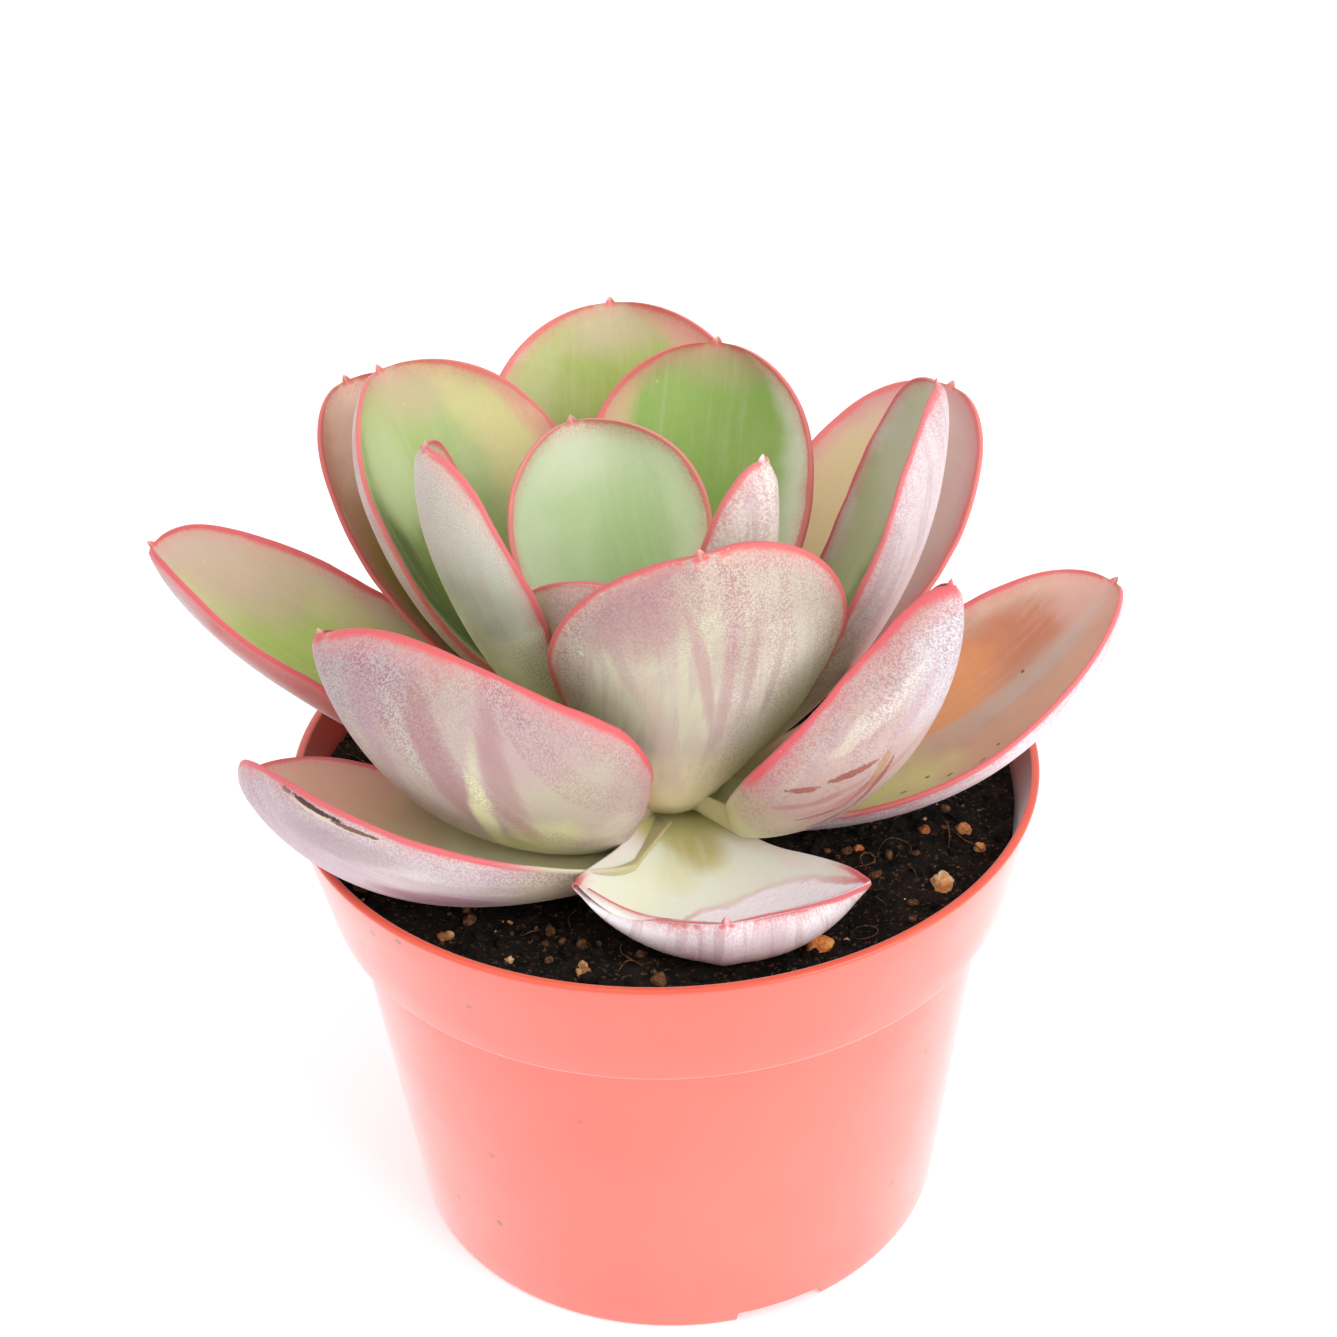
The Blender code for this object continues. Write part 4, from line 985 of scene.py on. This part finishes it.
def build_crumbs(tree):
    rng = np.random.default_rng(11)
    shapes = [ball(2, lambda co, k=k: co * (1.0 + 0.45 * noise.noise(
        co * 1.6 + Vector((k * 5.0, 0.0, 0.0))))) for k in range(CRUMB_SHAPES)]
    edge = inside_radius(SOIL_LEVEL) - 0.0016
    points, faces, tints = [], [], []
    for x, y, z in scatter(rng, CRUMBS, CRUMB_CLEAR, tree, edge):
        shape_points, shape_faces = shapes[rng.integers(len(shapes))]
        tint = rng.random()
        size = 0.00032 + 0.00062 * rng.random() ** 2.2
        if tint > 0.94:
            size *= 0.75
        scale = size * (0.65 + 0.7 * rng.random(3))
        turn = np.array(Matrix.Rotation(rng.random() * TURN, 3, Vector(rng.normal(size=3))))
        base = len(points)
        points += list((shape_points * scale) @ turn.T + AXIS + np.array([x, y, z + size * 0.35]))
        faces += [[base + i for i in f] for f in shape_faces]
        tints += [tint] * len(shape_points)
    crumbs = add_piece("soil_crumbs", points, faces, None, "peat")
    set_attribute(crumbs, "crumb_tint", tints)
    dress(crumbs, crumb_material())


def build_fibres(tree):
    """Root and peat fibres lying on the soil."""
    rng = np.random.default_rng(23)
    edge = inside_radius(SOIL_LEVEL) - 0.005
    steps, sides = 8, 5
    points, faces, tints = [], [], []
    for x, y, _ in scatter(rng, FIBRES, FIBRE_CLEAR, tree, edge):
        length = 0.002 + 0.006 * rng.random() ** 1.5
        thick = 0.00006 + 0.0001 * rng.random()
        heading = rng.random() * TURN
        bend = rng.normal() * 260
        tint = 0.72 + 0.2 * rng.random()
        faces += tube_faces(steps + 1, sides, len(points))
        for t in np.arange(steps + 1) / steps:
            angle = heading + bend * length * (t - 0.5)
            px = x + length * (t - 0.5) * np.cos(angle)
            py = y + length * (t - 0.5) * np.sin(angle)
            lift = 0.0003 + 0.0006 * np.sin(np.pi * t) + 0.0002 * np.sin(9 * t + bend)
            taper = thick * (0.4 + 0.6 * np.sin(np.pi * min(max(t, 0.06), 0.94)))
            centre = np.array([px, py, soil_height(px, py) + lift]) + AXIS
            side = np.array([-np.sin(angle), np.cos(angle), 0.0])
            for turn in range(sides):
                a = TURN * turn / sides
                points.append(centre + taper * (np.cos(a) * side + np.sin(a) * UP))
                tints.append(tint)
    fibres = add_piece("soil_fibres", points, faces, None, "peat")
    set_attribute(fibres, "crumb_tint", tints)
    dress(fibres, crumb_material())


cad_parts["soil"].data.materials.clear()
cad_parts["soil"].data.materials.append(peat_material())
build_soil_top()
leaf_tree = leaf_clearance()
build_crumbs(leaf_tree)
build_fibres(leaf_tree)

# ---------------------------------------------------------------- grit
GRAINS = 11
STONES = {
    1: (0xCC824C, 0xA0562C), 2: (0xD69258, 0xB26838), 3: (0xDEA064, 0xBE743E),
    4: (0xF4E2BE, 0xE29654), 5: (0xC47848, 0x965430), 6: (0xE8AA68, 0xCE7838),
}
OTHER_STONE = (0xCEA070, 0x96643E)


def build_grain(index):
    node = "grit_%d" % index
    low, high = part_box(node)
    middle, half = (low + high) / 2, (high - low) / 2

    def lumpy(co):
        lump = 1.0 + 0.28 * noise.noise(co * 1.5 + Vector((index * 3.1, 0, 0)))
        lump += 0.10 * noise.noise(co * 4.5 + Vector((0, index * 2.3, 0)))
        lump -= 0.05 * abs(noise.noise(co * 11.0))
        return middle + co * lump * half

    stone = add_piece(node + "_stone", *ball(4, lumpy), node, "pumice")
    dress(stone, stone_material(node, *STONES.get(index, OTHER_STONE)))


for index in range(1, GRAINS + 1):
    build_grain(index)


# ---------------------------------------------------------------- stem
STEM_ROOT = -0.006


def build_stem():
    """A short fleshy stem, ringed by old leaf scars."""
    rings, sides = 60, 72
    points, scars = [], []
    for ring in range(rings):
        h = STEM_ROOT + (STEM_HEIGHT - STEM_ROOT) * ring / (rings - 1)
        share = np.clip(h / STEM_HEIGHT, 0, 1)
        radius = 0.0066 * (1.0 - 0.12 * share) - 0.0036 * share ** 2.2
        if ring == rings - 1:
            radius *= 0.55
        scar = 0.5 + 0.5 * np.sin(h * 1900)
        for k in range(sides):
            angle = TURN * k / sides
            wave = noise.noise(Vector((np.cos(angle) * 2, np.sin(angle) * 2, h * 420)))
            ridge = scar ** 4 * (0.6 + 0.4 * wave)
            r = radius + 0.00022 * ridge + 0.0003 * wave
            points.append(np.array(round_point(r, angle, h)) + STEM)
            scars.append(np.clip(ridge, 0, 1) if share < 0.7 else 0.0)
    stem = add_piece("stem_column", points, tube_faces(rings, sides), "stem", "stem_skin")
    set_attribute(stem, "stem_scar", scars)
    dress(stem, stem_material())


build_stem()


# ---------------------------------------------------------------- stage, light and camera
def floor_material():
    sh = Shader("studio_floor")
    cloud = sh.noise(sh.place(), 3.0, 2.0)
    colour = sh.mix(cloud, (0.93, 0.935, 0.95, 1.0), (0.95, 0.952, 0.96, 1.0))
    sh.set(Base_Color=colour, Roughness=0.9, Specular_IOR_Level=0.1)
    sh.set(Emission_Color=(0.96, 0.97, 1.0, 1.0), Emission_Strength=0.28)
    return sh.material


floor_mesh = bpy.data.meshes.new("floor")
floor_mesh.from_pydata([(-6, -6, 0), (6, -6, 0), (6, 6, 0), (-6, 6, 0)], [], [(0, 1, 2, 3)])
floor = bpy.data.objects.new("floor", floor_mesh)
bpy.context.scene.collection.objects.link(floor)
floor.data.materials.append(floor_material())

world = bpy.data.worlds.new("studio")
world.use_nodes = True
world.node_tree.nodes["Background"].inputs["Color"].default_value = (1.0, 1.0, 1.0, 1.0)
world.node_tree.nodes["Background"].inputs["Strength"].default_value = 0.85
bpy.context.scene.world = world


def area_light(name, place, target, size, power):
    data = bpy.data.lights.new(name, "AREA")
    data.shape = "SQUARE"
    data.size = size
    data.energy = power
    lamp = bpy.data.objects.new(name, data)
    lamp.location = place
    lamp.rotation_euler = (Vector(target) - Vector(place)).to_track_quat("-Z", "Y").to_euler()
    bpy.context.scene.collection.objects.link(lamp)


area_light("key", (0.98, -0.8, 0.85), (0, 0, 0.08), 1.0, 11.8)
area_light("top", (-0.35, 0.1, 1.4), (0, 0, 0.05), 1.2, 2.5)

LENS_MM, SENSOR_MM = 62.0, 36.0
PAN, TILT, ROLL = np.radians((0.19, 32.39, -1.785))
CAMERA_PLACE = AXIS + np.array([0.0, -0.2683, 0.2567])
ahead = np.array([np.sin(PAN) * np.cos(TILT), np.cos(PAN) * np.cos(TILT), -np.sin(TILT)])
right = np.array([np.cos(PAN), -np.sin(PAN), 0.0])
up = np.cross(right, ahead)
camera_right = np.cos(ROLL) * right + np.sin(ROLL) * up
camera_up = -np.sin(ROLL) * right + np.cos(ROLL) * up
lens = bpy.data.cameras.new("camera")
lens.lens = LENS_MM
lens.sensor_width = SENSOR_MM
lens.clip_start = 0.01
camera = bpy.data.objects.new("camera", lens)
turned = Matrix([camera_right, camera_up, -ahead]).transposed()
camera.matrix_world = Matrix.Translation(Vector(CAMERA_PLACE)) @ turned.to_4x4()
bpy.context.scene.collection.objects.link(camera)
bpy.context.scene.camera = camera
bpy.context.scene.view_settings.view_transform = "Standard"
